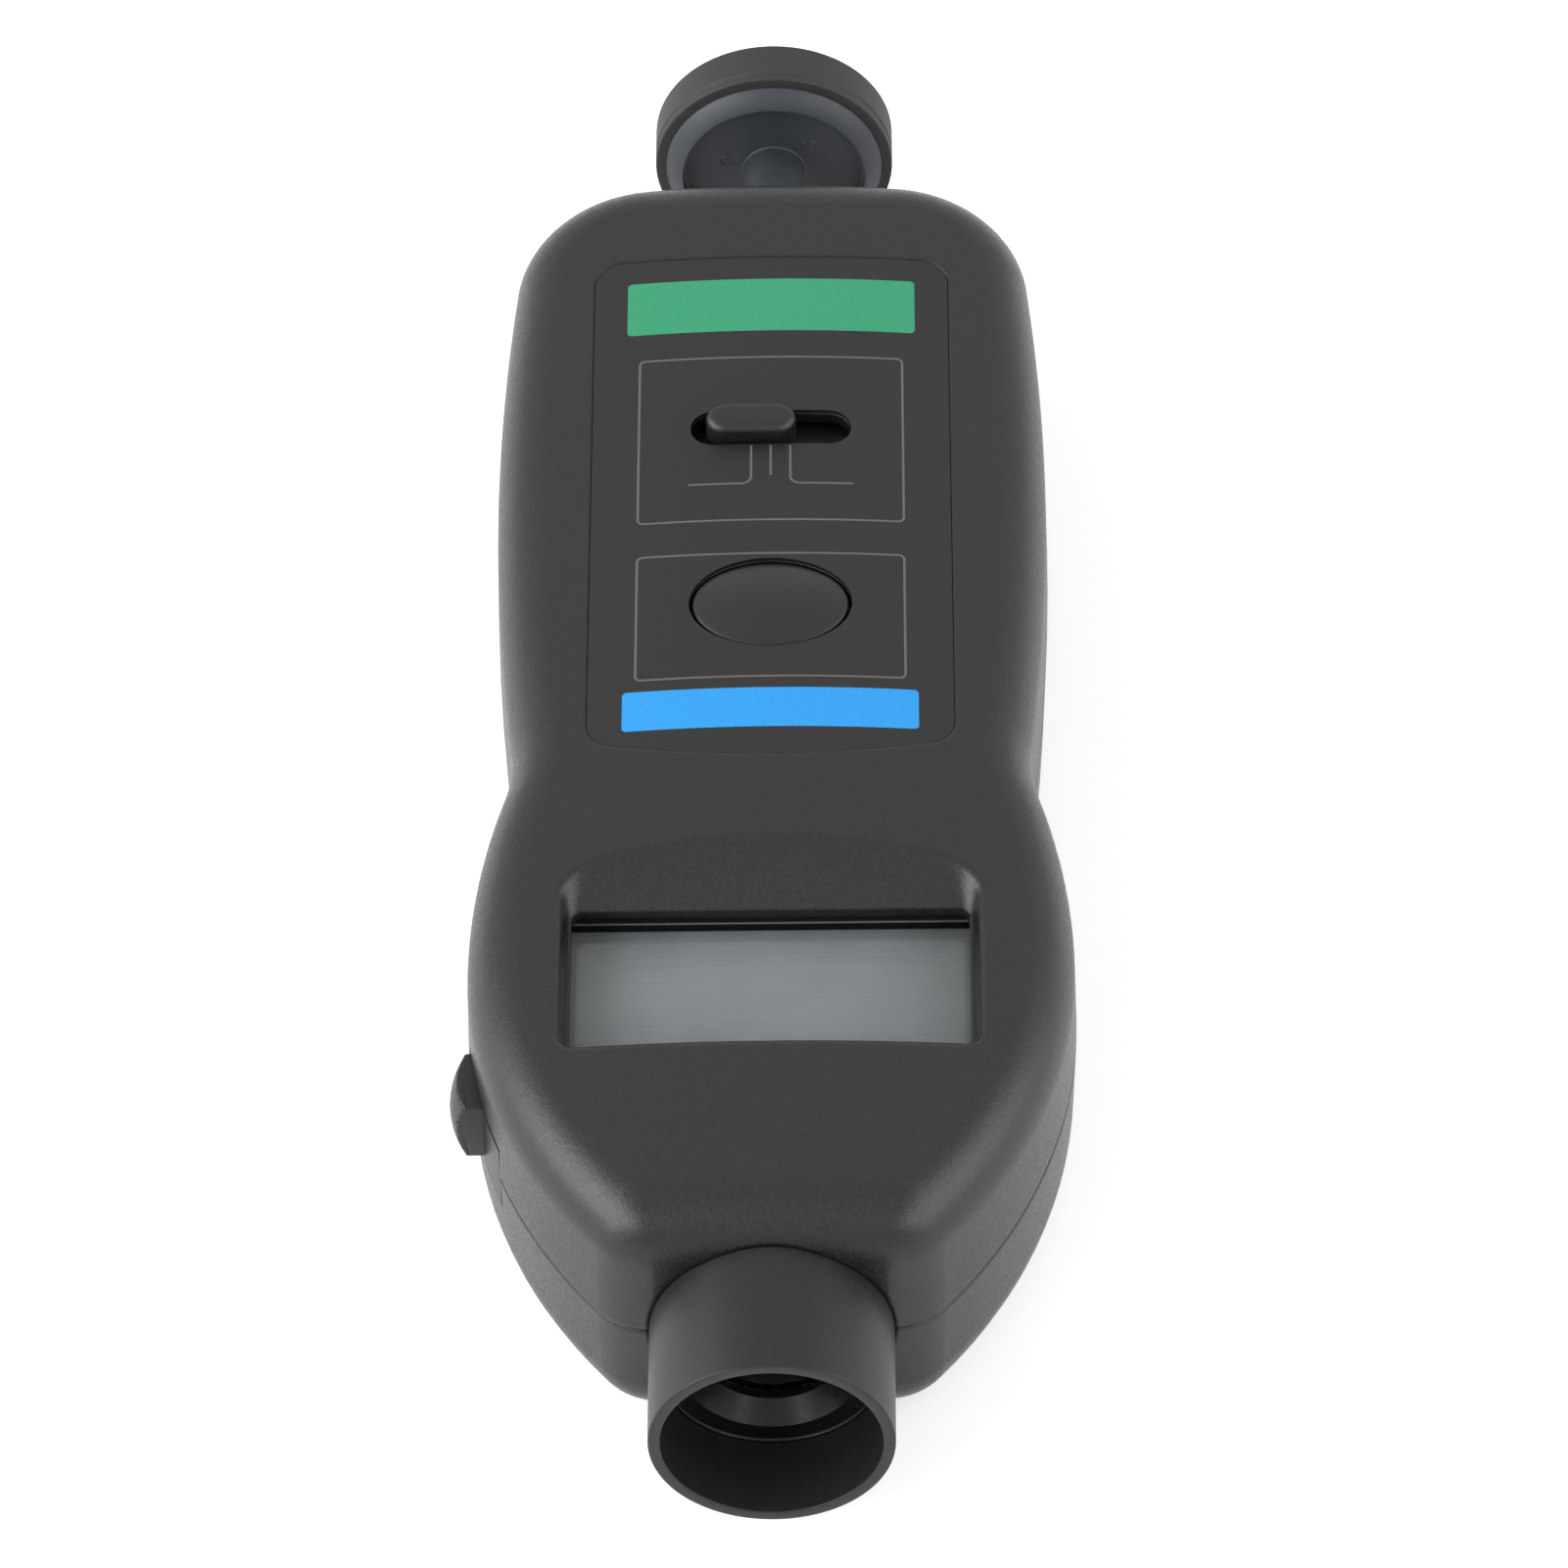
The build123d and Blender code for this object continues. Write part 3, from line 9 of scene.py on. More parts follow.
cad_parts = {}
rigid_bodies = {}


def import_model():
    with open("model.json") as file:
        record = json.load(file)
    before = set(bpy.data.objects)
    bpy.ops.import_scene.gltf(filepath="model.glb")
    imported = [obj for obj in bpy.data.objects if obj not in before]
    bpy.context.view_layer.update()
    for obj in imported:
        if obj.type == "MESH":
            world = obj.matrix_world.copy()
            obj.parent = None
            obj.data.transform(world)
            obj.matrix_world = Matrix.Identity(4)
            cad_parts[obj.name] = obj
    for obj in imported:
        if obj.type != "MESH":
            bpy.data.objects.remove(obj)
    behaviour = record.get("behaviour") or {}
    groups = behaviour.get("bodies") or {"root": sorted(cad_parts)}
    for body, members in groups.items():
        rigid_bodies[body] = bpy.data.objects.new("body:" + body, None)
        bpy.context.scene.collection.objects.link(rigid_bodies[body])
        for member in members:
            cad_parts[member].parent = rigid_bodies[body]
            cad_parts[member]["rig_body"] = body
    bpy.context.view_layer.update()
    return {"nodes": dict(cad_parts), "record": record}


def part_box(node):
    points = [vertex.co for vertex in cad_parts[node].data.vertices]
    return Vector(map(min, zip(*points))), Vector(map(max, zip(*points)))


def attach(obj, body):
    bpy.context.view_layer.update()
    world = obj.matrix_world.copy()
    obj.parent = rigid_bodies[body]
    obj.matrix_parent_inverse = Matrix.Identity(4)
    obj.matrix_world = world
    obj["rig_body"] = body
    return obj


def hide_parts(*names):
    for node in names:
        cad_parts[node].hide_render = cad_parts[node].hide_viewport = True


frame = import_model()

bl_info = {
    "name": "Digital tachometer",
    "version": (1, 0, 0),
    "blender": (4, 5, 0),
    "location": "View3D > Sidebar > Tachometer",
    "description": "Dresses a hand-held digital tachometer and sets it on a pale studio floor",
    "category": "Object",
}

MM = 0.001
WAVE_FACTOR = 20  # Blender's wave texture runs this many times faster than its scale says
SEAM = 0.001 * MM  # points closer than this are one point
GRAIN_RANGE = (0.3, 0.7)  # between these lie nearly all the values of a noise
COLOUR_RANGE = (0.32, 0.68)  # a little narrower, so that colours reach their ends


# Places read from the frame


def middle(node):
    """Middle of a node's box at rest."""
    low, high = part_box(node)
    return (low + high) / 2


def extent(node):
    """Size of a node's box at rest."""
    low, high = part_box(node)
    return high - low


axis_z = middle("lens_tube").z
tube_mount = next(m for m in frame["record"]["mounts"] if m["name"] == "light_tube")
tube_low, tube_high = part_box("lens_tube")
ring_low, ring_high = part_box("lens_ring")
lens_low, lens_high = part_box("front_lens")
tyre_low, tyre_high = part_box("wheel_tyre")
hub_low, hub_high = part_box("wheel_hub")
knob_low, knob_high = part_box("mode_knob")
memory_low, memory_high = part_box("memory_button")
half_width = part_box("front_shell")[1].x
side_low, side_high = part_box("measure_button")
side_stem_z = middle("measure_switch").z


def linear(hex_code):
    """Turns an sRGB hex value into linear red, green, blue and alpha."""
    channels = [int(hex_code[i : i + 2], 16) / 255 for i in (1, 3, 5)]
    straight = [c / 12.92 if c <= 0.04045 else ((c + 0.055) / 1.055) ** 2.4 for c in channels]
    return (*straight, 1.0)


# Sizes and colours that a user would change


def length(name, description, millimetres):
    """A length property whose default is given in millimetres."""
    return FloatProperty(
        name=name,
        description=description,
        default=millimetres * MM,
        precision=5,
        subtype="DISTANCE",
        unit="LENGTH",
    )


def angle(name, description, turn):
    """An angle property whose default is given in radians."""
    return FloatProperty(name=name, description=description, default=turn, subtype="ANGLE")


def light_level(name, description, default):
    """A property for the strength of a light."""
    return FloatProperty(name=name, description=description, default=default, min=0)


def whole_number(name, description, default):
    """A property that counts facets or holes."""
    return IntProperty(name=name, description=description, default=default, min=1)


def colour(name, description, hex_code):
    """A colour property whose default is given as an sRGB hex value."""
    return FloatVectorProperty(
        name=name,
        description=description,
        default=linear(hex_code),
        size=4,
        min=0,
        max=1,
        subtype="COLOR",
    )


class CaseFinish(PropertyGroup):
    body: colour("Case", "Black ABS of the housing", "#121213")
    tube: colour("Tube", "Smooth black plastic of the light tube", "#222223")
    button: colour("Buttons", "Satin black plastic of the keys", "#131314")
    panel: colour("Panel", "Black plastic of the control panel", "#131314")
    grit: length("Grit", "Width of one pit of the spark-eroded grit", 0.42)
    grit_depth: length("Grit depth", "Depth of the spark-eroded grit", 0.045)
    edge: length("Edge", "Rounding that the mould's edges show in the light", 0.8)


class PrintColours(PropertyGroup):
    green: colour("Green strip", "Ink of the far strip", "#2f946b")
    blue: colour("Blue strip", "Ink of the near strip", "#2697e2")
    lines: colour("Lines", "Ink of the frames and switch marks", "#645953")
    display: colour("Display", "Blank liquid-crystal glass", "#8f9092")


class TubeSizes(PropertyGroup):
    radius: length("Tube radius", "Outside of the light tube", tube_mount["dims"]["r_mm"])
    wall: length("Tube wall", "Thickness of the tube's wall", 1.5)
    rim_round: length("Rim round", "Rounded edges of the tube's rim", 0.25)
    ledge_round: length("Ledge round", "Hollow edge of the ring against the tube", 0.4)
    ring_bore: length("Ring bore", "Radius of the hole in front of the lens", 8.2)
    ring_cone: length("Ring cone", "Depth of the cone down to the ring's hole", 2.4)
    lens_edge: length("Lens edge", "Thickness of the lens at its rim", 1.5)
    lens_steps: whole_number("Lens rings", "Rings that make the lens's dome", 12)
    steps: whole_number("Facets", "Facets round the tube", 128)


class WheelSizes(PropertyGroup):
    groove: length("Groove", "Width of the groove beside the tread", 0.4)
    groove_place: length("Groove place", "From the tyre's near face to its groove", 1.15)
    groove_depth: length("Groove depth", "Depth of the groove beside the tread", 0.35)
    edge_round: length("Tread edge", "Rounded far edge of the tyre", 0.5)
    tyre_depth: length("Tyre depth", "Thickness of the rubber on its rim", 2.5)
    lip_radius: length("Lip radius", "Outer edge of the hub's sloping ring", 14.5)
    ring_radius: length("Ring radius", "Inner edge of the hub's sloping ring", 12.2)
    ring_rise: length("Ring rise", "How far the ring stands out of the tyre", 2.3)
    web_sink: length("Web sink", "From the ring's edge down to the web", 1.6)
    web: length("Web", "Thickness of the hub's web", 2.2)
    web_floor: length("Web floor", "What is left of the web behind the bore", 0.8)
    boss_radius: length("Boss radius", "Boss that slips over the shaft", 3.9)
    bore: length("Bore", "Bore of the boss", 2.55)
    hole_radius: length("Web hole", "Radius of the small holes in the web", 1.0)
    hole_circle: length("Hole circle", "Distance of the small holes from the axis", 6.5)
    hole_turn: angle("Hole turn", "First small hole above the horizon", radians(44))
    hole_count: whole_number("Holes", "Small holes in the web", 3)
    steps: whole_number("Facets", "Facets round the wheel", 144)


class KeySizes(PropertyGroup):
    knob_length: length("Knob length", "Length of the mode knob", 11.5)
    knob_width: length("Knob width", "Width of the mode knob", 4.9)
    knob_round: length("Knob round", "Rounded top edge of the mode knob", 1.1)
    plate_width: length("Plate width", "Plate under the panel that carries the knob", 10)
    plate_thickness: length("Plate thickness", "Thickness of that plate", 1.2)
    plate_depth: length("Plate depth", "From the knob's top to the plate's top", 5.8)
    fork_gap: length("Fork gap", "Play between the fork and the lever", 0.1)
    fork_wall: length("Fork wall", "Thickness of one prong of the fork", 1.2)
    fork_width: length("Fork width", "Width of the fork", 3)
    oval_half_length: length("Oval half length", "Half of the oval key, across", 9.85)
    oval_half_width: length("Oval half width", "Half of the oval key, along", 7.15)
    oval_round: length("Oval round", "Rounded edge of the oval key", 0.45)
    dome: length("Dome", "Height of the oval key's dome", 1.3)
    flange_depth: length("Flange depth", "From the dome's crest to the flange's top", 3.9)
    flange_thickness: length("Flange thickness", "Flange that holds the key in", 1.2)
    stem_radius: length("Stem radius", "Stem that works the switch", 2.4)
    pad: length("Pad", "Side of the square measuring button", 9.0)
    pad_dome: length("Pad dome", "Radius of the measuring button's domed face", 10.6)
    pad_depth: length("Pad depth", "From the dome's crest back to the pad's foot", 6.0)
    pad_round: length("Pad edge", "Rounded edges of the measuring button", 0.25)
    pad_margin: length("Pad margin", "From the pad to the far and upper edge of its base", 0.3)
    base_height: length("Base height", "Height of the base that fills the side opening", 9.8)
    base_near: length("Base near end", "From the flange's near end to the base", 0.65)
    base_far: length("Base far end", "From the base to the flange's far end", 1.45)
    base_sink: length("Base sink", "How far the base lies behind the flank", 0.08)
    base_thickness: length("Base thickness", "Thickness of that base", 2.6)
    base_steps: whole_number("Base steps", "Steps of the base along the flank", 12)
    dome_steps: whole_number("Dome rings", "Rings that make the oval key's dome", 16)
    side_flange_sink: length("Side flange sink", "Side flange behind the flank", 2.75)
    flank_radius: length("Flank radius", "Radius of the housing's flank in plan", 70)
    steps: whole_number("Facets", "Facets round a key", 96)


class CellSizes(PropertyGroup):
    nub_radius: length("Nub radius", "Radius of a cell's raised contact", 2.75)
    nub_height: length("Nub height", "Height of a cell's raised contact", 1.0)
    edge: length("Edge", "Rolled edge of a cell's film", 0.5)
    land: length("Land", "Ring of film turned over each end", 1.1)
    steps: whole_number("Facets", "Facets round a cell", 64)


class DisplaySizes(PropertyGroup):
    # The dark border round the polariser is painted shade.
    border: length("Border", "Sealed edge that shows round the polariser", 1.3)
    polariser: length("Polariser", "Thickness of the grey polariser", 0.2)
    bevel: length("Bevel", "Ground edge of the window and the glass", 0.05)


class StageSizes(PropertyGroup):
    floor_width: length("Floor", "Width of the pale floor", 4000)
    floor_lift: light_level("Floor lift", "Light that the floor adds near the object", 0.45)
    far_lift: light_level("Far lift", "Light that the floor adds far from the lamps", 0.62)
    fade_start: length("Fade start", "Distance at which the floor's light starts to rise", 400)
    fade_end: length("Fade end", "Distance at which the floor's light stops rising", 1500)
    surround: light_level("Surround", "Strength of the white surround on matt surfaces", 0.45)
    camera_distance: length("Camera distance", "From the lens to the aim point", 1145.5)
    aim_x: length("Aim to the right", "Aim point, right of the centre line", 1.4)
    aim_y: length("Aim along", "Aim point along the instrument", 40)
    elevation: angle("Elevation", "Camera's height above the horizon", 0.83251)
    heading: angle("Heading", "Camera's turn round the object", -0.018628)
    roll: angle("Roll", "Camera's turn about its line of sight", -0.02446)
    focal: FloatProperty(
        name="Focal length",
        description="Lens on a frame 36 mm wide",
        default=208.17,
        unit="CAMERA",
    )


# Building blocks for materials


def add_node(material, kind, inputs=(), links=(), **settings):
    """Adds a node, sets its options and inputs, and links other nodes' outputs into it."""
    tree = material.node_tree
    made = tree.nodes.new(kind)
    for name, value in settings.items():
        setattr(made, name, value)
    for socket, value in dict(inputs).items():
        made.inputs[socket].default_value = value
    for socket, (source, output) in dict(links).items():
        tree.links.new(source.outputs[output], made.inputs[socket])
    return made


def new_material(name, base, roughness, **inputs):
    """A material with one Principled shader whose plain values are set on its own sockets."""
    material = bpy.data.materials.new(name)
    material.use_nodes = True
    shader = material.node_tree.nodes["Principled BSDF"]
    shader.inputs["Base Color"].default_value = base
    shader.inputs["Roughness"].default_value = roughness
    for socket, value in inputs.items():
        shader.inputs[socket.replace("_", " ")].default_value = value
    return material, shader


def bare_material(name):
    """A material with an output and nothing that feeds it."""
    material = bpy.data.materials.new(name)
    material.use_nodes = True
    material.node_tree.nodes.remove(material.node_tree.nodes["Principled BSDF"])
    return material


def shown_by(material, shader):
    """Feeds a shader node into the material's output."""
    tree = material.node_tree
    surface = tree.nodes["Material Output"].inputs["Surface"]
    tree.links.new(shader.outputs["Shader"], surface)
    return material


def math_node(material, operation, *terms):
    """Adds a math node whose terms are plain numbers or pairs of a node and its output."""
    inputs = {i: term for i, term in enumerate(terms) if not isinstance(term, tuple)}
    links = {i: term for i, term in enumerate(terms) if isinstance(term, tuple)}
    return add_node(material, "ShaderNodeMath", inputs, links, operation=operation)


def surface_grain(material, shader, size, depth, stretch=(1, 1, 1), detail=2.0, soft_edge=0.0):
    """Bumps of a width and depth over a piece, with edges softened if asked; returns the noise."""
    place = add_node(material, "ShaderNodeTexCoord")
    turned_place = add_node(
        material,
        "ShaderNodeMapping",
        {"Scale": stretch},
        {"Vector": (place, "Object")},
    )
    grain = add_node(
        material,
        "ShaderNodeTexNoise",
        {"Scale": 1 / size, "Detail": detail, "Roughness": 0.62},
        {"Vector": (turned_place, "Vector")},
    )
    into_bump = {"Height": (grain, "Fac")}
    if soft_edge:
        worn = add_node(material, "ShaderNodeBevel", {"Radius": soft_edge}, samples=6)
        into_bump["Normal"] = (worn, "Normal")
    bump = add_node(material, "ShaderNodeBump", {"Strength": 1.0, "Distance": depth}, into_bump)
    material.node_tree.links.new(bump.outputs["Normal"], shader.inputs["Normal"])
    return grain


def vary(material, shader, socket, source, low, high):
    """Lets a pattern move one of the shader's values between low and high."""
    spread = add_node(
        material,
        "ShaderNodeMapRange",
        {"From Min": GRAIN_RANGE[0], "From Max": GRAIN_RANGE[1], "To Min": low, "To Max": high},
        {"Value": (source, "Fac")},
    )
    material.node_tree.links.new(spread.outputs["Result"], shader.inputs[socket])


def vary_colour(material, shader, source, base, share):
    """Lets a pattern lighten and darken a base colour by a share of itself."""
    ramp = add_node(material, "ShaderNodeValToRGB", links={"Fac": (source, "Fac")})
    factors = (1 - share, 1 + share)
    for element, position, factor in zip(ramp.color_ramp.elements, COLOUR_RANGE, factors):
        element.position = position
        element.color = [c * factor for c in base[:3]] + [1]
    material.node_tree.links.new(ramp.outputs["Color"], shader.inputs["Base Color"])


def grained(name, base, roughness, size, depth, share=0.0, spread=None, inputs=(), **grain):
    """A surface with a grain that also moves its colour by a share and spreads its roughness."""
    material, shader = new_material(name, base, roughness, **dict(inputs))
    skin = surface_grain(material, shader, size * MM, depth * MM, **grain)
    if spread:
        vary(material, shader, "Roughness", skin, *spread)
    if share:
        vary_colour(material, shader, skin, base, share)
    return material


# Materials, one for each of the record's slots


def spark_eroded_abs():
    """Black ABS from a spark-eroded mould: an even grit that breaks highlights into specks."""
    case = bpy.context.scene.case_finish
    return grained(
        "black_abs_spark_eroded",
        case.body,
        0.4,
        case.grit / MM,
        case.grit_depth / MM,
        share=0.4,
        spread=(0.26, 0.46),
        inputs={"IOR": 1.49},
        detail=3,
        soft_edge=case.edge,
    )


def polished_mould_abs():
    """Black ABS from a smooth mould: a soft sheen with faint draw marks along the tube."""
    base = bpy.context.scene.case_finish.tube
    marks = {"share": 0.1, "spread": (0.36, 0.42), "stretch": (1, 0.4, 1)}
    inputs = {"IOR": 1.38}
    return grained("black_abs_smooth_moulded", base, 0.38, 0.5, 0.003, inputs=inputs, **marks)


def shaded_ring_abs():
    """Black ABS ring from a polished mould, darker than the tube's black: painted shade of the
    hollow inside the tube. Its hollow edge shows as a thin line.
    """
    # Base colour darker than the tube's: painted shade.
    base = linear("#0c0c0d")
    inputs = {"IOR": 1.36}
    skin = {"spread": (0.24, 0.34), "inputs": inputs}
    return grained("black_abs_ring_painted_shade", base, 0.3, 0.9, 0.002, **skin)


def satin_key_abs():
    """Black ABS keys from a lightly blasted mould: satin, smoother than the case."""
    base = bpy.context.scene.case_finish.button
    skin = {"share": 0.1, "spread": (0.34, 0.46), "inputs": {"IOR": 1.48}}
    return grained("black_abs_satin_key", base, 0.4, 0.3, 0.006, **skin)


def fine_panel_abs():
    """Panel plate with a finer, flatter grit than the case round it."""
    base = bpy.context.scene.case_finish.panel
    skin = {"share": 0.14, "spread": (0.44, 0.56), "inputs": {"IOR": 1.47}}
    return grained("black_panel_fine_grit", base, 0.5, 0.3, 0.01, **skin)


def screen_ink(name, base):
    """Screen-printed ink that sinks into the panel's grit and shows it faintly."""
    return grained(name, base, 0.5, 0.35, 0.005, share=0.07)


def green_ink():
    """Green field of the far strip."""
    return screen_ink("green_screen_ink", bpy.context.scene.print_colours.green)


def blue_ink():
    """Blue field of the near strip."""
    return screen_ink("blue_screen_ink", bpy.context.scene.print_colours.blue)


def line_ink():
    """Warm grey ink of the thin lines."""
    return screen_ink("grey_screen_ink", bpy.context.scene.print_colours.lines)


def clear_acrylic():
    """Clear acrylic window: see-through, with the gloss of its polished face."""
    material = bare_material("clear_acrylic_window")
    clear = add_node(material, "ShaderNodeBsdfTransparent", {"Color": linear("#f4f6f6")})
    gloss = add_node(material, "ShaderNodeBsdfGlossy", {"Roughness": 0.06})
    facing = add_node(material, "ShaderNodeLayerWeight")
    steep = math_node(material, "POWER", (facing, "Facing"), 5.0)
    share = math_node(material, "MULTIPLY_ADD", (steep, "Value"), 0.96, 0.04)
    mixed = add_node(
        material,
        "ShaderNodeMixShader",
        links={0: (share, "Value"), 1: (clear, "BSDF"), 2: (gloss, "BSDF")},
    )
    return shown_by(material, mixed)


def blank_display():
    """Liquid-crystal glass with no segments lit: a cool grey with a faint satin polariser."""
    base = bpy.context.scene.print_colours.display
    return grained("blank_display_glass", base, 0.35, 9, 0.0, share=0.05, detail=1)


def painted_shade_glass_edge():
    """Black on the display glass's edge and the window's sides: painted shade, the dark band that
    the pocket's walls throw beside the polariser.
    """
    return plain_plastic("display_edge_painted_shade", "#101012", 0.55, 0.15, 0.5)


def moulded_lens():
    """Clear moulded lens, with a faint cool cast."""
    clear = {"IOR": 1.49, "Transmission_Weight": 1.0}
    return new_material("clear_moulded_lens", linear("#dfe6ea"), 0.03, **clear)[0]


def plain_plastic(name, hex_code, roughness, share=0.06, size=0.8):
    """Moulded plastic of a plain colour with a faint moulding skin."""
    return grained(name, linear(hex_code), roughness, size, 0.004, share=share)


def white_frame_plastic():
    """White moulded plastic that throws light back behind the display."""
    return plain_plastic("white_moulded_plastic", "#d8d8d2", 0.5)


def switch_plastic():
    """Glass-filled black plastic of small switch bodies, dull and slightly speckled."""
    return plain_plastic("black_glass_filled_plastic", "#242424", 0.55, 0.12, 0.4)


def chip_plastic():
    """Black moulding compound of chips, with a dull, faintly gritty face."""
    return plain_plastic("black_moulding_compound", "#1d1d1f", 0.6, 0.1, 0.3)


def layered_rubber():
    """Conductive rubber strip: thin dark and pale layers, as fine as the contacts they join."""
    base = linear("#6f6468")
    material, shader = new_material("layered_contact_rubber", base, 0.6)
    place = add_node(material, "ShaderNodeTexCoord")
    period = 0.8 * MM
    layers = add_node(
        material,
        "ShaderNodeTexWave",
        {"Scale": 2 * pi / (WAVE_FACTOR * period), "Distortion": 0.0},
        {"Vector": (place, "Object")},
        bands_direction="X",
    )
    vary_colour(material, shader, layers, base, 0.5)
    return material


def board_laminate():
    """Glass-fibre board under green mask: the weave shows through as a fine mottle."""
    return grained("green_masked_laminate", linear("#1f5a36"), 0.38, 0.5, 0.006, share=0.15)


def cable_film():
    """Pale polyester cable film, faintly ribbed along its conductors."""
    ribs = {"share": 0.1, "stretch": (1, 0.05, 0.05)}
    return grained("pale_cable_film", linear("#d6d0bf"), 0.35, 0.6, 0.02, **ribs)


def cast_epoxy():
    """Clear cast epoxy of the light source, with a faint warm cast."""
    clear = {"IOR": 1.55, "Transmission_Weight": 0.85}
    return new_material("clear_cast_epoxy", linear("#f2dede"), 0.08, **clear)[0]


def dark_epoxy():
    """Dark cast epoxy of the detector, glossy and nearly black."""
    return plain_plastic("dark_cast_epoxy", "#17141c", 0.12, 0.1)


def drawn_metal(name, hex_code, roughness, stretch):
    """Metal with fine lines drawn along one way, which pull each highlight out."""
    lines = {"spread": (roughness * 0.8, roughness * 1.25), "stretch": stretch}
    metal = {"Metallic": 1.0}
    return grained(name, linear(hex_code), roughness, 0.15, 0.003, inputs=metal, **lines)


def ground_steel():
    """Ground steel shaft: bright, with fine rings left by the wheel."""
    return drawn_metal("ground_steel", "#b9bbbd", 0.24, (0.15, 1, 0.15))


def black_oxide_steel():
    """Screws in black oxide: a dark, oily-looking steel."""
    return drawn_metal("black_oxide_steel", "#4a4a4d", 0.36, (1, 1, 1))


def nickel_plate():
    """Nickel-plated sheet contacts, bright with faint rolling lines."""
    return drawn_metal("nickel_plated_sheet", "#c9c5ba", 0.26, (1, 0.2, 1))


def sintered_bronze():
    """Sintered bronze bush: warm, dull and finely porous."""
    pores = {"share": 0.25, "detail": 4, "inputs": {"Metallic": 1.0}}
    return grained("sintered_bronze", linear("#a9764a"), 0.5, 0.2, 0.02, **pores)


def shrink_film():
    """Plain dark film shrunk round a cell: smooth and glossy, with faint draw lines."""
    draw = {"share": 0.08, "stretch": (1, 0.1, 1), "inputs": {"Coat_Weight": 0.3}}
    return grained("slate_shrink_film", linear("#39424d"), 0.22, 0.8, 0.006, **draw)


def slate_hub_plastic():
    """Slate-grey moulded nylon of the wheel's hub, satin with a cool cast."""
    skin = {"share": 0.08, "spread": (0.4, 0.5), "inputs": {"IOR": 1.45}}
    return grained("slate_moulded_nylon", linear("#34383d"), 0.45, 0.6, 0.008, **skin)


def tread_rubber():
    """Dark nitrile rubber of the tyre: matt, with a dusty bloom and a fine ground grain."""
    grain = {"share": 0.25, "spread": (0.58, 0.74), "detail": 4, "inputs": {"IOR": 1.52}}
    return grained("dark_ground_rubber", linear("#272727"), 0.66, 0.35, 0.02, **grain)


FINISHES = {
    "case_plastic": spark_eroded_abs,
    "tube_plastic": polished_mould_abs,
    "button_plastic": satin_key_abs,
    "panel_film": fine_panel_abs,
    "green_print": green_ink,
    "blue_print": blue_ink,
    "line_print": line_ink,
    "window_clear": clear_acrylic,
    "display_grey": blank_display,
    "lens_glass": moulded_lens,
    "frame_white": white_frame_plastic,
    "switch_plastic": switch_plastic,
    "contact_rubber": layered_rubber,
    "board_laminate": board_laminate,
    "chip_black": chip_plastic,
    "ribbon_film": cable_film,
    "emitter_clear": cast_epoxy,
    "detector_dark": dark_epoxy,
    "screw_steel": black_oxide_steel,
    "shaft_steel": ground_steel,
    "spring_steel": nickel_plate,
    "bush_bronze": sintered_bronze,
    "cell_jacket": shrink_film,
    "hub_plastic": slate_hub_plastic,
    "tyre_rubber": tread_rubber,
}
made_finishes = {}


def finish_of(slot):
    """The material of a slot, made the first time that a piece asks for it."""
    if slot not in made_finishes:
        made_finishes[slot] = FINISHES[slot]()
    return made_finishes[slot]


def slot_of(node):
    """The record's material slot of a node."""
    pairs = {entry["node"]: entry["material_slot"] for entry in frame["record"]["subparts"]}
    return pairs[node]


# Modelling steps that the pieces share


def deselect():
    """Leaves nothing selected, so that the next step acts on its own piece alone."""
    if bpy.context.object and bpy.context.object.mode != "OBJECT":
        bpy.ops.object.mode_set(mode="OBJECT")
    bpy.ops.object.select_all(action="DESELECT")


def pick(*pieces):
    """Selects these pieces alone and makes the first one active."""
    deselect()
    for piece in pieces:
        piece.select_set(True)
    bpy.context.view_layer.objects.active = pieces[0]


def select_faces(piece, chosen):
    """Selects the faces that a test picks by their middle and normal, in edit mode."""
    bpy.ops.object.mode_set(mode="EDIT")
    bpy.ops.mesh.select_mode(type="FACE")
    bpy.ops.mesh.select_all(action="DESELECT")
    bpy.ops.object.mode_set(mode="OBJECT")
    for face in piece.data.polygons:
        face.select = chosen(piece.matrix_world @ face.center, face.normal)
    bpy.ops.object.mode_set(mode="EDIT")


def settle(piece, name):
    """Names a piece, closes its seams, turns its faces out and puts its place into its mesh."""
    bpy.ops.object.mode_set(mode="EDIT")
    bpy.ops.mesh.select_all(action="SELECT")
    bpy.ops.mesh.remove_doubles(threshold=SEAM)
    bpy.ops.mesh.normals_make_consistent(inside=False)
    bpy.ops.object.mode_set(mode="OBJECT")
    bpy.ops.object.transform_apply(location=True, rotation=True, scale=True)
    bpy.ops.object.shade_smooth_by_angle(angle=radians(32))
    piece.name = name
    return piece


def place_on(piece, node, slot=None):
    """Puts a finished piece on its body in place of a node, with its slot's material."""
    chosen = slot or slot_of(node)
    if not piece.data.materials:
        piece.data.materials.append(finish_of(chosen))
    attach(piece, frame["nodes"][node]["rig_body"])
    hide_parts(node)


def arc(centre, radius, start, end, steps=8):
    """Points on an arc in (place along the axis, radius from it), with angles in degrees."""
    turns = [radians(start + (end - start) * i / steps) for i in range(steps + 1)]
    return [(centre[0] + radius * cos(t), centre[1] + radius * sin(t)) for t in turns]


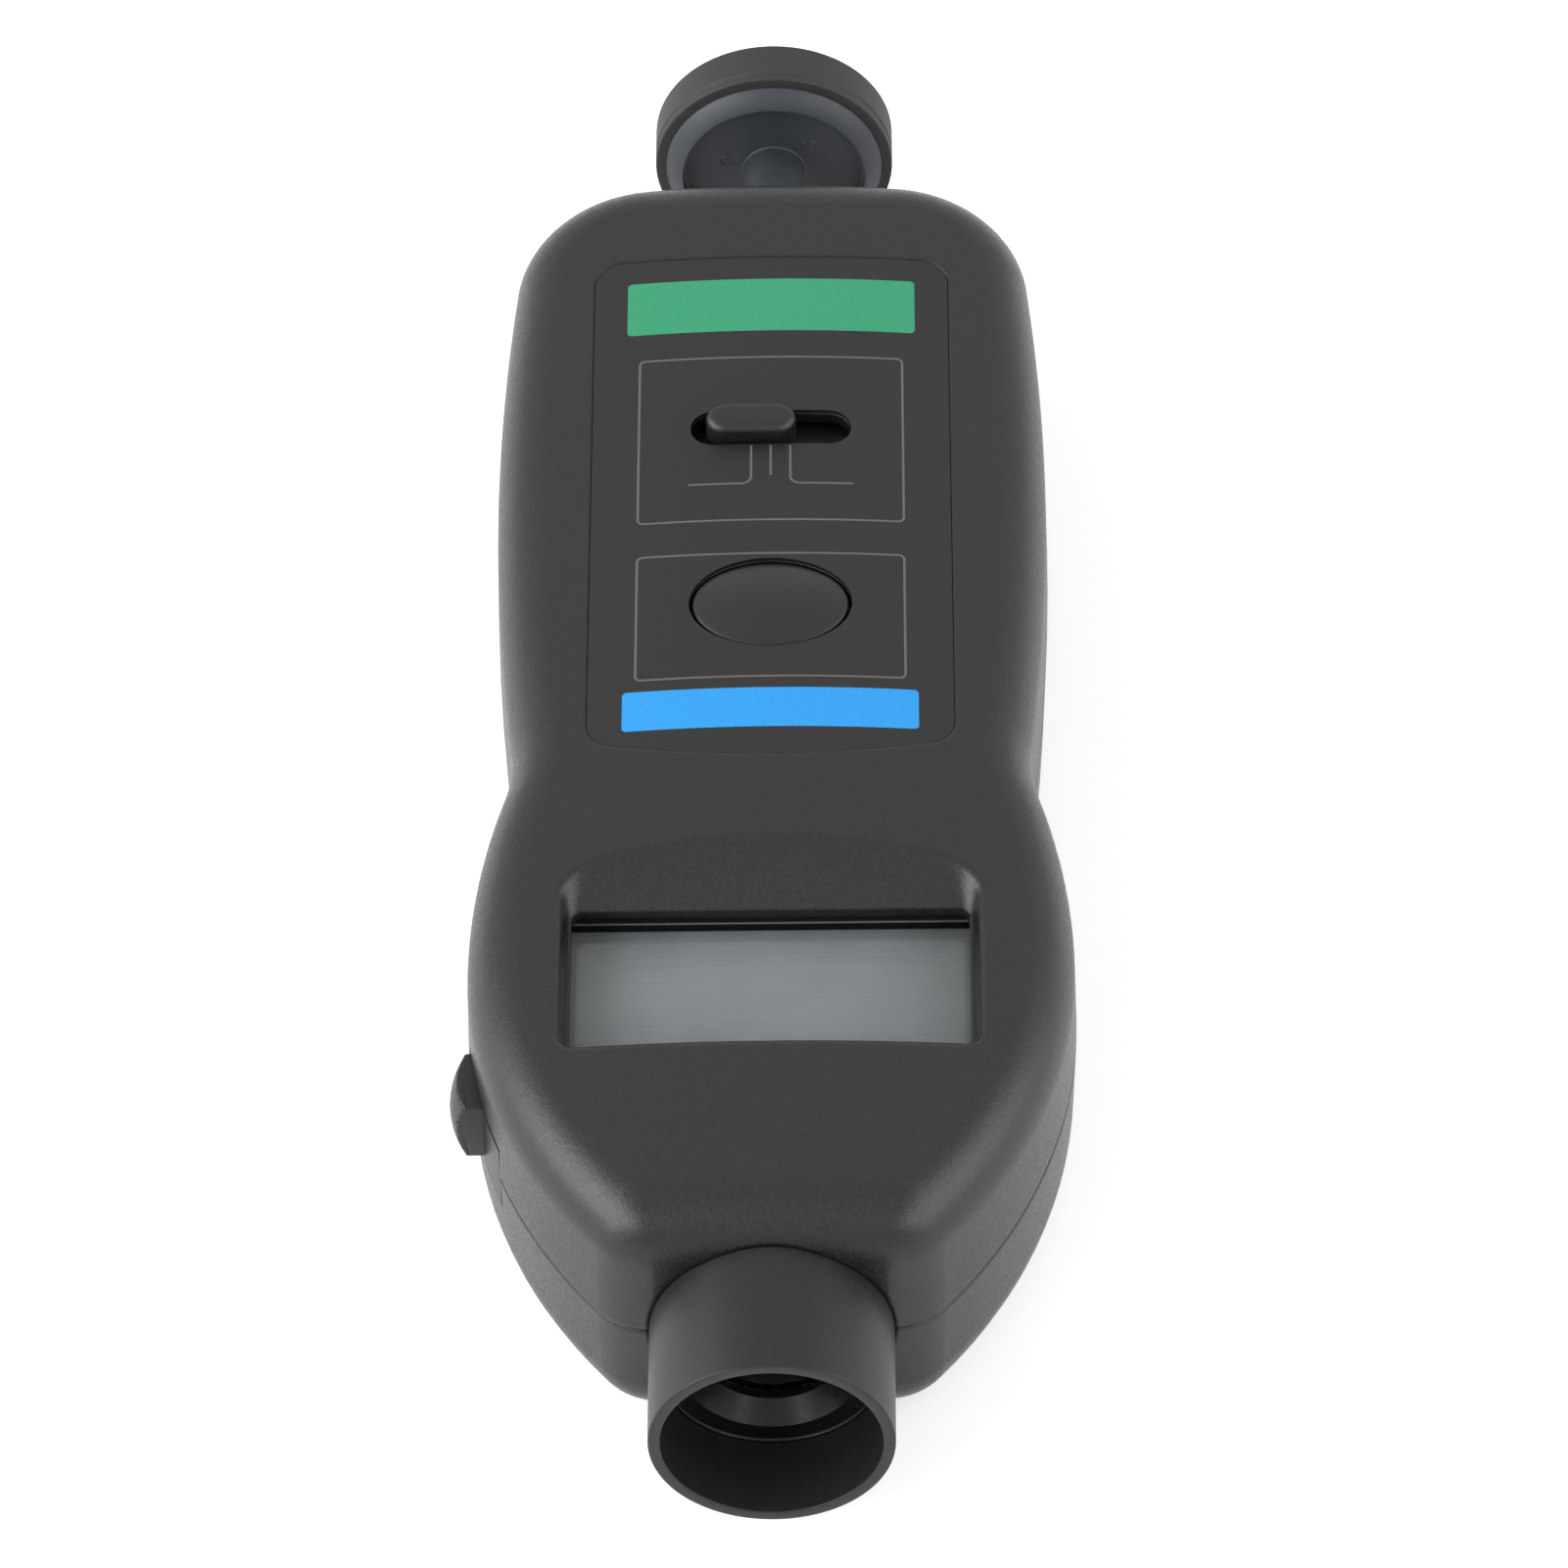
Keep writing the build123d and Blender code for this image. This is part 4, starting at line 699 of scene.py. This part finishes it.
def turned(name, profile, steps, line=(0, None), closed=True):
    """Turns a piece on a line along Y: a ring is extruded and resized from point to point."""
    centre_x = line[0]
    centre_z = axis_z if line[1] is None else line[1]
    deselect()
    place, radius = profile[0]
    bpy.ops.mesh.primitive_circle_add(
        vertices=steps,
        radius=radius,
        location=(centre_x, place, centre_z),
        rotation=(pi / 2, 0, 0),
        enter_editmode=True,
    )
    piece = bpy.context.object
    bpy.ops.mesh.select_mode(type="VERT")
    bpy.ops.mesh.select_all(action="SELECT")
    path = profile[1:] + profile[:1] if closed else profile[1:]
    for next_place, next_radius in path:
        step = {"value": (0, next_place - place, 0)}
        bpy.ops.mesh.extrude_region_move(TRANSFORM_OT_translate=step)
        share = next_radius / radius
        bpy.ops.transform.resize(
            value=(share, 1, share),
            center_override=(centre_x, next_place, centre_z),
        )
        place, radius = next_place, next_radius
    if not closed:
        bpy.ops.mesh.select_all(action="SELECT")
        bpy.ops.mesh.remove_doubles(threshold=SEAM)
        bpy.ops.mesh.fill_holes(sides=steps)
    bpy.ops.object.mode_set(mode="OBJECT")
    return settle(piece, name)


def raised(name, place, rings, steps, straight=0.0):
    """Raises an oval through rings of (height, half length, half width).

    Straight is half the length of the straight sides that part its ends.
    """
    deselect()
    x, y = place
    height, half_x, half_y = rings[0]
    bpy.ops.mesh.primitive_circle_add(
        vertices=steps,
        radius=1,
        location=(x, y, height),
        fill_type="NGON",
        enter_editmode=True,
    )
    piece = bpy.context.object
    bpy.ops.mesh.select_mode(type="VERT")
    bpy.ops.mesh.select_all(action="SELECT")
    bpy.ops.transform.resize(
        value=(half_x - straight, half_y, 1),
        center_override=(x, y, height),
    )
    if straight:
        for side in (-1, 1):
            bpy.ops.mesh.select_all(action="DESELECT")
            bpy.ops.object.mode_set(mode="OBJECT")
            for vertex in piece.data.vertices:
                vertex.select = side * vertex.co.x > SEAM
            bpy.ops.object.mode_set(mode="EDIT")
            bpy.ops.transform.translate(value=(side * straight, 0, 0))
    bpy.ops.mesh.select_mode(type="FACE")
    bpy.ops.mesh.select_all(action="SELECT")
    for next_height, next_x, next_y in rings[1:]:
        step = {"value": (0, 0, next_height - height)}
        bpy.ops.mesh.extrude_region_move(TRANSFORM_OT_translate=step)
        bpy.ops.transform.resize(
            value=(next_x / half_x, next_y / half_y, 1),
            center_override=(x, y, next_height),
        )
        height, half_x, half_y = next_height, next_x, next_y
    bpy.ops.mesh.select_mode(type="VERT")
    bpy.ops.object.mode_set(mode="OBJECT")
    return settle(piece, name)


def rounded_edge(height, half_x, half_y, radius, turn, steps):
    """Rings of an edge that is rounded from upright through a turn in degrees."""
    turns = [radians(turn * i / steps) for i in range(steps + 1)]
    return [
        (height + radius * sin(t), half_x - radius * (1 - cos(t)), half_y - radius * (1 - cos(t)))
        for t in turns
    ]


def box_piece(name, low, high, bevel):
    """Box between two corners with bevelled edges."""
    deselect()
    bpy.ops.mesh.primitive_cube_add(size=1, location=(low + high) / 2, scale=high - low)
    piece = bpy.context.object
    bpy.ops.object.transform_apply(location=False, rotation=False, scale=True)
    bpy.ops.object.mode_set(mode="EDIT")
    bpy.ops.mesh.select_all(action="SELECT")
    bpy.ops.mesh.bevel(offset=bevel, segments=3, affect="EDGES")
    bpy.ops.object.mode_set(mode="OBJECT")
    return settle(piece, name)


def join(name, *pieces):
    """Joins finished pieces into one."""
    pick(*pieces)
    bpy.ops.object.join()
    return settle(pieces[0], name)


def cut_with(piece, tool, operation):
    """Changes a piece by a second solid, which is then deleted."""
    pick(piece)
    bpy.ops.object.modifier_add(type="BOOLEAN")
    cut = piece.modifiers[-1]
    cut.object = tool
    cut.operation = operation
    cut.solver = "EXACT"
    bpy.ops.object.modifier_apply(modifier=cut.name)
    pick(tool)
    bpy.ops.object.delete()


def rod(facets, radius, start, end):
    """Plain rod between two points that lie on a line along X or Y."""
    deselect()
    along_x = abs(end.x - start.x) > abs(end.y - start.y)
    bpy.ops.mesh.primitive_cylinder_add(
        vertices=facets,
        radius=radius,
        depth=(end - start).length,
        location=(start + end) / 2,
        rotation=(0, pi / 2, 0) if along_x else (pi / 2, 0, 0),
    )
    return bpy.context.object


# Pieces


class TACHO_OT_carry_over(Operator):
    """Gives every node of the frame the material of its slot"""

    bl_idname = "tacho.carry_over"
    bl_label = "Finish the carried-over pieces"

    def execute(self, context):
        for name, node in frame["nodes"].items():
            node.material_slots[0].material = finish_of(slot_of(name))
        return {"FINISHED"}


class TACHO_OT_light_tube(Operator):
    """Light tube with its rounded rim, the ring in front of the lens and the domed lens"""

    bl_idname = "tacho.light_tube"
    bl_label = "Light tube"

    def execute(self, context):
        sizes = context.scene.tube_sizes
        self.make_tube(sizes)
        self.make_ring(sizes)
        self.make_lens(sizes)
        return {"FINISHED"}

    def make_tube(self, sizes):
        """Plain tube whose rim is rounded inside and outside."""
        outer = sizes.radius
        bore = outer - sizes.wall
        rounded = sizes.rim_round
        rim, tail = tube_low.y, tube_high.y
        profile = [
            (tail, bore),
            *arc((rim + rounded, bore + rounded), rounded, 270, 180, 5),
            *arc((rim + rounded, outer - rounded), rounded, 180, 90, 5),
            (tail, outer),
        ]
        place_on(turned("light_tube", profile, sizes.steps), "lens_tube")

    def make_ring(self, sizes):
        """Ring in front of the lens, with a hollow edge against the tube and a cone to its hole."""
        rounded = sizes.ledge_round
        outside, face, back = ring_high.x, ring_low.y, ring_high.y
        bore, cone = sizes.ring_bore, sizes.ring_cone
        profile = [
            *arc((face - rounded, outside - rounded), rounded, 90, 0, 6),
            (face, bore + cone),
            (face + cone, bore),
            (back, bore),
            (back, outside),
        ]
        ring = turned("lens_ring_dressed", profile, sizes.steps)
        # The ring's darker black is painted shade inside the tube.
        ring.data.materials.append(shaded_ring_abs())
        place_on(ring, "lens_ring")

    def make_lens(self, sizes):
        """Plano-convex lens, domed towards the mouth of the tube."""
        radius = lens_high.x
        apex, seat = lens_low.y, lens_high.y
        rise = seat - sizes.lens_edge - apex
        curve = (radius**2 + rise**2) / (2 * rise)
        half_angle = asin(radius / curve)
        rings = sizes.lens_steps
        turns = [half_angle * (rings - i) / (rings + 0.2) for i in range(1, rings)]
        dome = [(apex + curve - curve * cos(turn), curve * sin(turn)) for turn in turns]
        edge = seat - sizes.lens_edge
        pole = 0.02 * radius
        profile = [(seat, pole), (seat, radius), (edge, radius), *dome]
        place_on(turned("lens_dressed", profile, sizes.steps, closed=False), "front_lens")


class TACHO_OT_wheel(Operator):
    """Surface wheel: grooved tyre on a dished hub with small round holes"""

    bl_idname = "tacho.wheel"
    bl_label = "Contact wheel"

    def execute(self, context):
        sizes = context.scene.wheel_sizes
        self.make_tyre(sizes)
        self.make_hub(sizes)
        return {"FINISHED"}

    def make_tyre(self, sizes):
        """Tyre with a narrow groove beside its tread."""
        radius = tyre_high.x
        near, far = tyre_low.y, tyre_high.y
        inner = radius - sizes.tyre_depth
        edge, near_edge = sizes.edge_round, sizes.edge_round / 2
        groove_y = near + sizes.groove_place
        half = sizes.groove / 2
        profile = [
            (far, inner),
            (near, inner),
            *arc((near + near_edge, radius - near_edge), near_edge, 180, 90, 4),
            (groove_y - half, radius),
            (groove_y - half, radius - sizes.groove_depth),
            (groove_y + half, radius - sizes.groove_depth),
            (groove_y + half + 1.3 * sizes.groove_depth, radius),
            *arc((far - edge, radius - edge), edge, 90, 0, 5),
        ]
        place_on(turned("wheel_tyre_dressed", profile, sizes.steps), "wheel_tyre")

    def make_hub(self, sizes):
        """Dished hub on a long boss, with a sloping ring and small holes in its web."""
        rim = tyre_high.x - sizes.tyre_depth
        lip = tyre_low.y
        ring_edge = lip - sizes.ring_rise
        web = ring_edge + sizes.web_sink
        web_back = web + sizes.web
        boss = sizes.boss_radius
        near = hub_low.y
        soft = 0.2 * MM
        point = 0.05 * MM
        bore_end = web_back - sizes.web_floor
        profile = [
            (bore_end, point),
            (bore_end, sizes.bore),
            (near, sizes.bore),
            *arc((near + soft, boss - soft), soft, 180, 90, 4),
            (web - 2 * soft, boss + soft),
            *arc((web - 2 * soft, boss + 3 * soft), 2 * soft, 270, 360, 4),
            *arc((web - 2 * soft, sizes.ring_radius - 2 * soft), 2 * soft, 0, 90, 4),
            *arc((ring_edge + soft / 2, sizes.ring_radius + soft / 2), soft / 2, 270, 150, 4),
            (lip - 0.5 * MM, sizes.lip_radius - 0.2 * MM),
            (lip - 0.25 * MM, sizes.lip_radius),
            (lip, sizes.lip_radius),
            (lip, rim),
            (hub_high.y, rim),
            (hub_high.y, rim - sizes.tyre_depth / 2),
            (web_back, rim - sizes.tyre_depth / 2),
            (web_back, point),
        ]
        hub = turned("wheel_hub_dressed", profile, sizes.steps, closed=False)
        for i in range(sizes.hole_count):
            turn = sizes.hole_turn + 2 * pi * i / sizes.hole_count
            across = sizes.hole_circle * Vector((cos(turn), 0, sin(turn)))
            centre = Vector((0, 0, axis_z)) + across
            start, end = Vector((0, web - MM, 0)), Vector((0, web_back + MM, 0))
            cut_with(hub, rod(32, sizes.hole_radius, centre + start, centre + end), "DIFFERENCE")
        pick(hub)
        place_on(settle(hub, "wheel_hub_dressed"), "wheel_hub")


class TACHO_OT_keys(Operator):
    """Mode knob on its plate, oval domed key and square side button"""

    bl_idname = "tacho.keys"
    bl_label = "Knob, key and button"

    def execute(self, context):
        sizes = context.scene.key_sizes
        self.make_knob(sizes)
        self.make_oval_key(sizes)
        self.make_side_button(sizes)
        return {"FINISHED"}

    def make_side_button(self, sizes):
        """Square domed pad on a base that follows the flank, with a flange and a stem behind."""
        crest, inner = side_low.x, side_high.x
        middle_z = (side_low.z + side_high.z) / 2
        base_low, base_high = middle_z - sizes.base_height / 2, middle_z + sizes.base_height / 2
        near, far = side_low.y + sizes.base_near, side_high.y - sizes.base_far
        spans = ((near, far), (base_low, base_high))
        base = self.flank_strip(sizes, spans, sizes.base_sink, sizes.base_thickness)
        spans = ((side_low.y, side_high.y), (side_low.z, side_high.z))
        flange = self.flank_strip(sizes, spans, sizes.side_flange_sink, sizes.flange_thickness)
        pad_y = far - sizes.pad / 2 - sizes.pad_margin
        pad_z = base_high - sizes.pad / 2 - sizes.pad_margin
        pad = self.domed_pad(sizes, Vector((crest, pad_y, pad_z)))
        foot = Vector((crest + sizes.pad_depth, middle("measure_switch").y, side_stem_z))
        end = Vector((inner, foot.y, foot.z))
        stem = settle(rod(48, sizes.stem_radius, foot, end), "side_stem")
        place_on(join("side_button_dressed", base, flange, pad, stem), "measure_button")

    def flank_strip(self, sizes, spans, sink, thick):
        """Strip that follows the flank's curve, extruded step by step along the instrument."""
        steps, radius = sizes.base_steps, sizes.flank_radius
        (near, far), (low, high) = spans
        places = [near + (far - near) * i / steps for i in range(steps + 1)]
        outside = [radius - half_width - sqrt(radius**2 - y**2) + sink for y in places]
        deselect()
        bpy.ops.mesh.primitive_plane_add(
            size=1,
            location=(outside[0] + thick / 2, places[0], (low + high) / 2),
            rotation=(pi / 2, 0, 0),
            enter_editmode=True,
        )
        piece = bpy.context.object
        bpy.ops.mesh.select_all(action="SELECT")
        bpy.ops.transform.resize(value=(thick, 1, high - low))
        for i in range(steps):
            step = {"value": (outside[i + 1] - outside[i], places[i + 1] - places[i], 0)}
            bpy.ops.mesh.extrude_region_move(TRANSFORM_OT_translate=step)
        bpy.ops.object.mode_set(mode="OBJECT")
        return settle(piece, "side_strip")

    def domed_pad(self, sizes, crest):
        """Pad with four flat sides cut out of a ball, with softened edges."""
        deselect()
        bpy.ops.mesh.primitive_uv_sphere_add(
            segments=96,
            ring_count=48,
            radius=sizes.pad_dome,
            location=crest + Vector((sizes.pad_dome, 0, 0)),
            rotation=(0, pi / 2, 0),
        )
        pad = bpy.context.object
        bpy.ops.object.transform_apply(location=False, rotation=True, scale=False)
        deselect()
        bpy.ops.mesh.primitive_cube_add(
            size=1,
            location=crest + Vector((sizes.pad_depth / 2, 0, 0)),
            scale=(sizes.pad_depth, sizes.pad, sizes.pad),
        )
        cut_with(pad, bpy.context.object, "INTERSECT")
        pick(pad)
        bpy.ops.object.modifier_add(type="BEVEL")
        bevel = pad.modifiers[-1]
        bevel.width = sizes.pad_round
        bevel.segments = 4
        bevel.angle_limit = radians(25)
        bevel.use_clamp_overlap = False
        bpy.ops.object.modifier_apply(modifier=bevel.name)
        return settle(pad, "side_pad")

    def make_knob(self, sizes):
        """Knob with round ends and a soft top edge, on the plate that closes its slot."""
        centre = (knob_low + knob_high) / 2
        top = knob_high.z
        plate_top = top - sizes.plate_depth
        plate_low = plate_top - sizes.plate_thickness
        half_x, half_y = sizes.knob_length / 2, sizes.knob_width / 2
        rounded = sizes.knob_round
        place = (centre.x, centre.y)
        rings = [((plate_low + plate_top) / 2, half_x, half_y)]
        rings += rounded_edge(top - rounded, half_x, half_y, rounded, 90, 8)
        knob = raised("knob_grip", place, rings, sizes.steps, half_x - half_y)
        spread = Vector(((knob_high.x - knob_low.x) / 2, sizes.plate_width / 2, 0))
        plate = box_piece(
            "knob_plate",
            Vector((centre.x, centre.y, plate_low)) - spread,
            Vector((centre.x, centre.y, plate_top)) + spread,
            0.2 * MM,
        )
        prongs = []
        for side in (-1, 1):
            inner = extent("switch_lever").x / 2 + sizes.fork_gap
            prong_x = centre.x + side * (inner + sizes.fork_wall / 2)
            spread = Vector((sizes.fork_wall / 2, sizes.fork_width / 2, 0))
            prong = box_piece(
                "knob_fork",
                Vector((prong_x, centre.y, knob_low.z)) - spread,
                Vector((prong_x, centre.y, plate_low + 0.3 * MM)) + spread,
                0.1 * MM,
            )
            prongs.append(prong)
        place_on(join("mode_knob_dressed", knob, plate, *prongs), "mode_knob")

    def make_oval_key(self, sizes):
        """Domed oval key with a flange that holds it in and a stem down to its switch."""
        centre = (memory_low + memory_high) / 2
        place = (centre.x, centre.y)
        crest = memory_high.z
        rim = crest - sizes.dome
        flange_top = crest - sizes.flange_depth
        flange_low = flange_top - sizes.flange_thickness
        half_x, half_y = sizes.oval_half_length, sizes.oval_half_width
        rounded = sizes.oval_round
        rings = [(flange_top - 0.2 * MM, half_x, half_y)]
        rings += rounded_edge(rim - rounded, half_x, half_y, rounded, 60, 4)
        edge_height, edge_x, edge_y = rings[-1]
        for i in range(1, sizes.dome_steps):
            share = 1 - i / sizes.dome_steps
            height = crest - (crest - edge_height) * share**2
            rings.append((height, edge_x * share, edge_y * share))
        dome = raised("key_dome", place, rings, sizes.steps)
        flange_x = (memory_high.x - memory_low.x) / 2
        flange_y = (memory_high.y - memory_low.y) / 2
        rings = [(flange_low, flange_x, flange_y), (flange_top, flange_x, flange_y)]
        flange = raised("key_flange", place, rings, sizes.steps)
        full, soft, foot = sizes.stem_radius, 0.2 * MM, memory_low.z
        heights = ((foot, full - soft), (foot + soft, full), (flange_top, full))
        stem = raised("key_stem", place, [(z, r, r) for z, r in heights], 32)
        place_on(join("memory_key_dressed", dome, flange, stem), "memory_button")


class TACHO_OT_display(Operator):
    """Clear window and the blank liquid-crystal glass under it"""

    bl_idname = "tacho.display"
    bl_label = "Display"

    def execute(self, context):
        sizes = context.scene.display_sizes
        low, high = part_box("display_window")
        window = box_piece("window_dressed", low, high, sizes.bevel)
        window.data.materials.append(finish_of(slot_of("display_window")))
        window.data.materials.append(painted_shade_glass_edge())
        # The window's sides take the black edge material: painted shade.
        select_faces(window, lambda middle, normal: abs(normal.z) < 0.5)
        window.active_material_index = 1
        bpy.ops.object.material_slot_assign()
        bpy.ops.object.mode_set(mode="OBJECT")
        place_on(window, "display_window")
        low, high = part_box("display_glass")
        sheet = Vector((0, 0, sizes.polariser))
        border = Vector((sizes.border, sizes.border, 0))
        glass = box_piece("glass_body", low, high - sheet, sizes.bevel)
        top_low = Vector((low.x, low.y, high.z - sizes.polariser)) + border
        polariser = box_piece("polariser", top_low, high - border, sizes.polariser / 4)
        # The glass body under the polariser's border is black: painted shade round the polariser.
        glass.data.materials.append(painted_shade_glass_edge())
        place_on(glass, "display_glass")
        place_on(polariser, "display_glass")
        return {"FINISHED"}


class TACHO_OT_cells(Operator):
    """Four cells: a metal can with its raised contact, in a film turned over both ends"""

    bl_idname = "tacho.cells"
    bl_label = "Cells"

    def execute(self, context):
        sizes = context.scene.cell_sizes
        low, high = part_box("battery_1")
        line = ((low.x + high.x) / 2, (low.z + high.z) / 2)
        radius = (high.x - low.x) / 2
        shoulder = low.y + sizes.nub_height
        edge = sizes.edge
        land = radius - sizes.land
        film_profile = [
            (shoulder, land),
            *arc((shoulder + edge, radius - edge), edge, 180, 90, 5),
            *arc((high.y - edge, radius - edge), edge, 90, 0, 5),
            (high.y, land),
        ]
        film = turned("cell_film", film_profile, sizes.steps, line)
        nub = sizes.nub_radius
        soft = sizes.edge / 2
        sunk = soft / 2
        can_profile = [
            (low.y, 0.1 * MM),
            *arc((low.y + soft, nub - soft), soft, 180, 90, 4),
            (shoulder + sunk, nub + soft / 2),
            (shoulder + sunk, land),
            (high.y - sunk, land),
            (high.y - sunk, 0.1 * MM),
        ]
        can = turned("cell_can", can_profile, sizes.steps, line, closed=False)
        for number in range(2, 5):
            self.copy_cell(film, can, number)
        place_on(film, "battery_1")
        place_on(can, "battery_1", "spring_steel")
        return {"FINISHED"}

    def copy_cell(self, film, can, number):
        """Copies the first cell to another place, turned round if its contact points away."""
        node = f"battery_{number}"
        centre = middle(node)
        turned_round = number % 2 == 0
        for piece, slot in ((film, None), (can, "spring_steel")):
            pick(piece)
            bpy.ops.object.duplicate(linked=False)
            copy = bpy.context.object
            shift = centre - middle("battery_1")
            bpy.ops.object.mode_set(mode="EDIT")
            bpy.ops.mesh.select_all(action="SELECT")
            bpy.ops.transform.translate(value=shift)
            if turned_round:
                bpy.ops.transform.rotate(value=pi, orient_axis="Z", center_override=centre)
            bpy.ops.object.mode_set(mode="OBJECT")
            copy.name = f"{piece.name}_{number}"
            place_on(copy, node, slot)


def seen_directly(material):
    """One for rays that the camera, gloss or clear pieces send out, and none for diffuse light."""
    path = add_node(material, "ShaderNodeLightPath")
    mirrored = math_node(
        material, "MAXIMUM", (path, "Is Glossy Ray"), (path, "Is Transmission Ray")
    )
    return math_node(material, "MAXIMUM", (path, "Is Camera Ray"), (mirrored, "Value"))


class TACHO_OT_stage(Operator):
    """Pale floor, soft lamps and the camera at the photograph's angle"""

    bl_idname = "tacho.stage"
    bl_label = "Studio"

    def execute(self, context):
        scene = context.scene
        self.make_floor(scene.stage_sizes)
        self.make_world(scene)
        self.make_lamps()
        self.make_camera(scene)
        scene.view_settings.view_transform = "Standard"
        return {"FINISHED"}

    def make_floor(self, sizes):
        """White floor that keeps the object's shadow; from below it is clear."""
        deselect()
        bpy.ops.mesh.primitive_plane_add(size=sizes.floor_width, location=(0, 0, -0.2 * MM))
        floor = bpy.context.object
        floor.name = "studio_floor"
        bpy.ops.object.transform_apply(location=True, rotation=True, scale=True)
        material = bare_material("white_studio_floor")
        paper = add_node(material, "ShaderNodeBsdfDiffuse", {"Color": linear("#f2f2f2")})
        glow = add_node(material, "ShaderNodeEmission", {"Color": linear("#ffffff")})
        place = add_node(material, "ShaderNodeTexCoord")
        reach = add_node(
            material,
            "ShaderNodeVectorMath",
            links={0: (place, "Object")},
            operation="LENGTH",
        )
        level = add_node(
            material,
            "ShaderNodeMapRange",
            {
                "From Min": sizes.fade_start,
                "From Max": sizes.fade_end,
                "To Min": sizes.floor_lift,
                "To Max": sizes.far_lift,
            },
            {"Value": (reach, "Value")},
        )
        direct = (seen_directly(material), "Value")
        lift = math_node(material, "MULTIPLY", direct, (level, "Result"))
        material.node_tree.links.new(lift.outputs["Value"], glow.inputs["Strength"])
        both = add_node(
            material,
            "ShaderNodeAddShader",
            links={0: (paper, "BSDF"), 1: (glow, "Emission")},
        )
        side = add_node(material, "ShaderNodeNewGeometry")
        clear = add_node(material, "ShaderNodeBsdfTransparent")
        shown_by(
            material,
            add_node(
                material,
                "ShaderNodeMixShader",
                links={0: (side, "Backfacing"), 1: (both, "Shader"), 2: (clear, "BSDF")},
            ),
        )
        floor.data.materials.append(material)

    def make_world(self, scene):
        """Even white surround, as in a light tent, that lights matt surfaces more softly."""
        world = bpy.data.worlds.new("white_surround")
        world.use_nodes = True
        scene.world = world
        tree = world.node_tree
        background = tree.nodes["Background"]
        background.inputs["Color"].default_value = linear("#ffffff")
        strength = add_node(
            world,
            "ShaderNodeMapRange",
            {"To Min": scene.stage_sizes.surround, "To Max": 1.0},
            {"Value": (seen_directly(world), "Value")},
        )
        tree.links.new(strength.outputs["Result"], background.inputs["Strength"])

    def make_lamps(self):
        """Long soft lamps on both sides, and two small ones in front of the nose's shoulders."""
        aim = Vector((0, 0.04, 0.02))
        lamps = (
            ("soft_left", (-0.95, -0.12, 0.5), (1.15, 0.85), 13.5),
            ("soft_right", (0.95, -0.12, 0.5), (1.15, 0.85), 7.0),
            ("soft_front_left", (-0.75, -0.85, 0.8), (0.45, 0.45), 2.8),
            ("soft_front_right", (0.75, -0.85, 0.8), (0.45, 0.45), 2.0),
        )
        for name, place, size, power in lamps:
            deselect()
            bpy.ops.object.light_add(type="AREA", location=place)
            lamp = bpy.context.object
            lamp.name = name
            lamp.data.shape = "RECTANGLE"
            lamp.data.size, lamp.data.size_y = size
            lamp.data.energy = power
            lamp.rotation_euler = (aim - Vector(place)).to_track_quat("-Z", "Y").to_euler()

    def make_camera(self, scene):
        """Camera as fitted to the photograph: a long lens, high in front of the light tube."""
        sizes = scene.stage_sizes
        sight = Vector(
            (
                sin(sizes.heading) * cos(sizes.elevation),
                cos(sizes.heading) * cos(sizes.elevation),
                -sin(sizes.elevation),
            )
        )
        aim = Vector((sizes.aim_x, sizes.aim_y, axis_z))
        level = sight.cross(Vector((0, 0, 1))).normalized()
        upright = level.cross(sight)
        across = cos(sizes.roll) * level + sin(sizes.roll) * upright
        up = -sin(sizes.roll) * level + cos(sizes.roll) * upright
        turn = Matrix((across, up, -sight)).transposed()
        deselect()
        bpy.ops.object.camera_add(location=aim - sight * sizes.camera_distance)
        camera = bpy.context.object
        camera.name = "photograph_camera"
        camera.rotation_mode = "QUATERNION"
        camera.rotation_quaternion = turn.to_quaternion()
        camera.data.sensor_width = 36
        camera.data.lens = sizes.focal
        camera.data.clip_start = 0.01
        camera.data.clip_end = 20
        scene.camera = camera


GROUPS = {
    "case_finish": CaseFinish,
    "print_colours": PrintColours,
    "tube_sizes": TubeSizes,
    "wheel_sizes": WheelSizes,
    "key_sizes": KeySizes,
    "cell_sizes": CellSizes,
    "display_sizes": DisplaySizes,
    "stage_sizes": StageSizes,
}
STEPS = (
    TACHO_OT_carry_over,
    TACHO_OT_light_tube,
    TACHO_OT_wheel,
    TACHO_OT_keys,
    TACHO_OT_display,
    TACHO_OT_cells,
    TACHO_OT_stage,
)


class TACHO_PT_panel(Panel):
    """Lists the tachometer's pieces in the sidebar"""

    bl_idname = "TACHO_PT_panel"
    bl_label = "Tachometer"
    bl_space_type = "VIEW_3D"
    bl_region_type = "UI"
    bl_category = "Tachometer"

    def draw(self, context):
        for step in STEPS:
            self.layout.operator(step.bl_idname)
        for group in GROUPS:
            box = self.layout.box()
            for key in GROUPS[group].__annotations__:
                box.prop(getattr(context.scene, group), key)


def register():
    for group, holder in GROUPS.items():
        bpy.utils.register_class(holder)
        setattr(bpy.types.Scene, group, PointerProperty(type=holder))
    for step in STEPS:
        bpy.utils.register_class(step)
    bpy.utils.register_class(TACHO_PT_panel)


def unregister():
    bpy.utils.unregister_class(TACHO_PT_panel)
    for step in reversed(STEPS):
        bpy.utils.unregister_class(step)
    for group, holder in GROUPS.items():
        delattr(bpy.types.Scene, group)
        bpy.utils.unregister_class(holder)


def main():
    """Registers the add-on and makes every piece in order."""
    register()
    for step in STEPS:
        group, name = step.bl_idname.split(".")
        getattr(getattr(bpy.ops, group), name)()


if __name__ == "__main__":
    main()
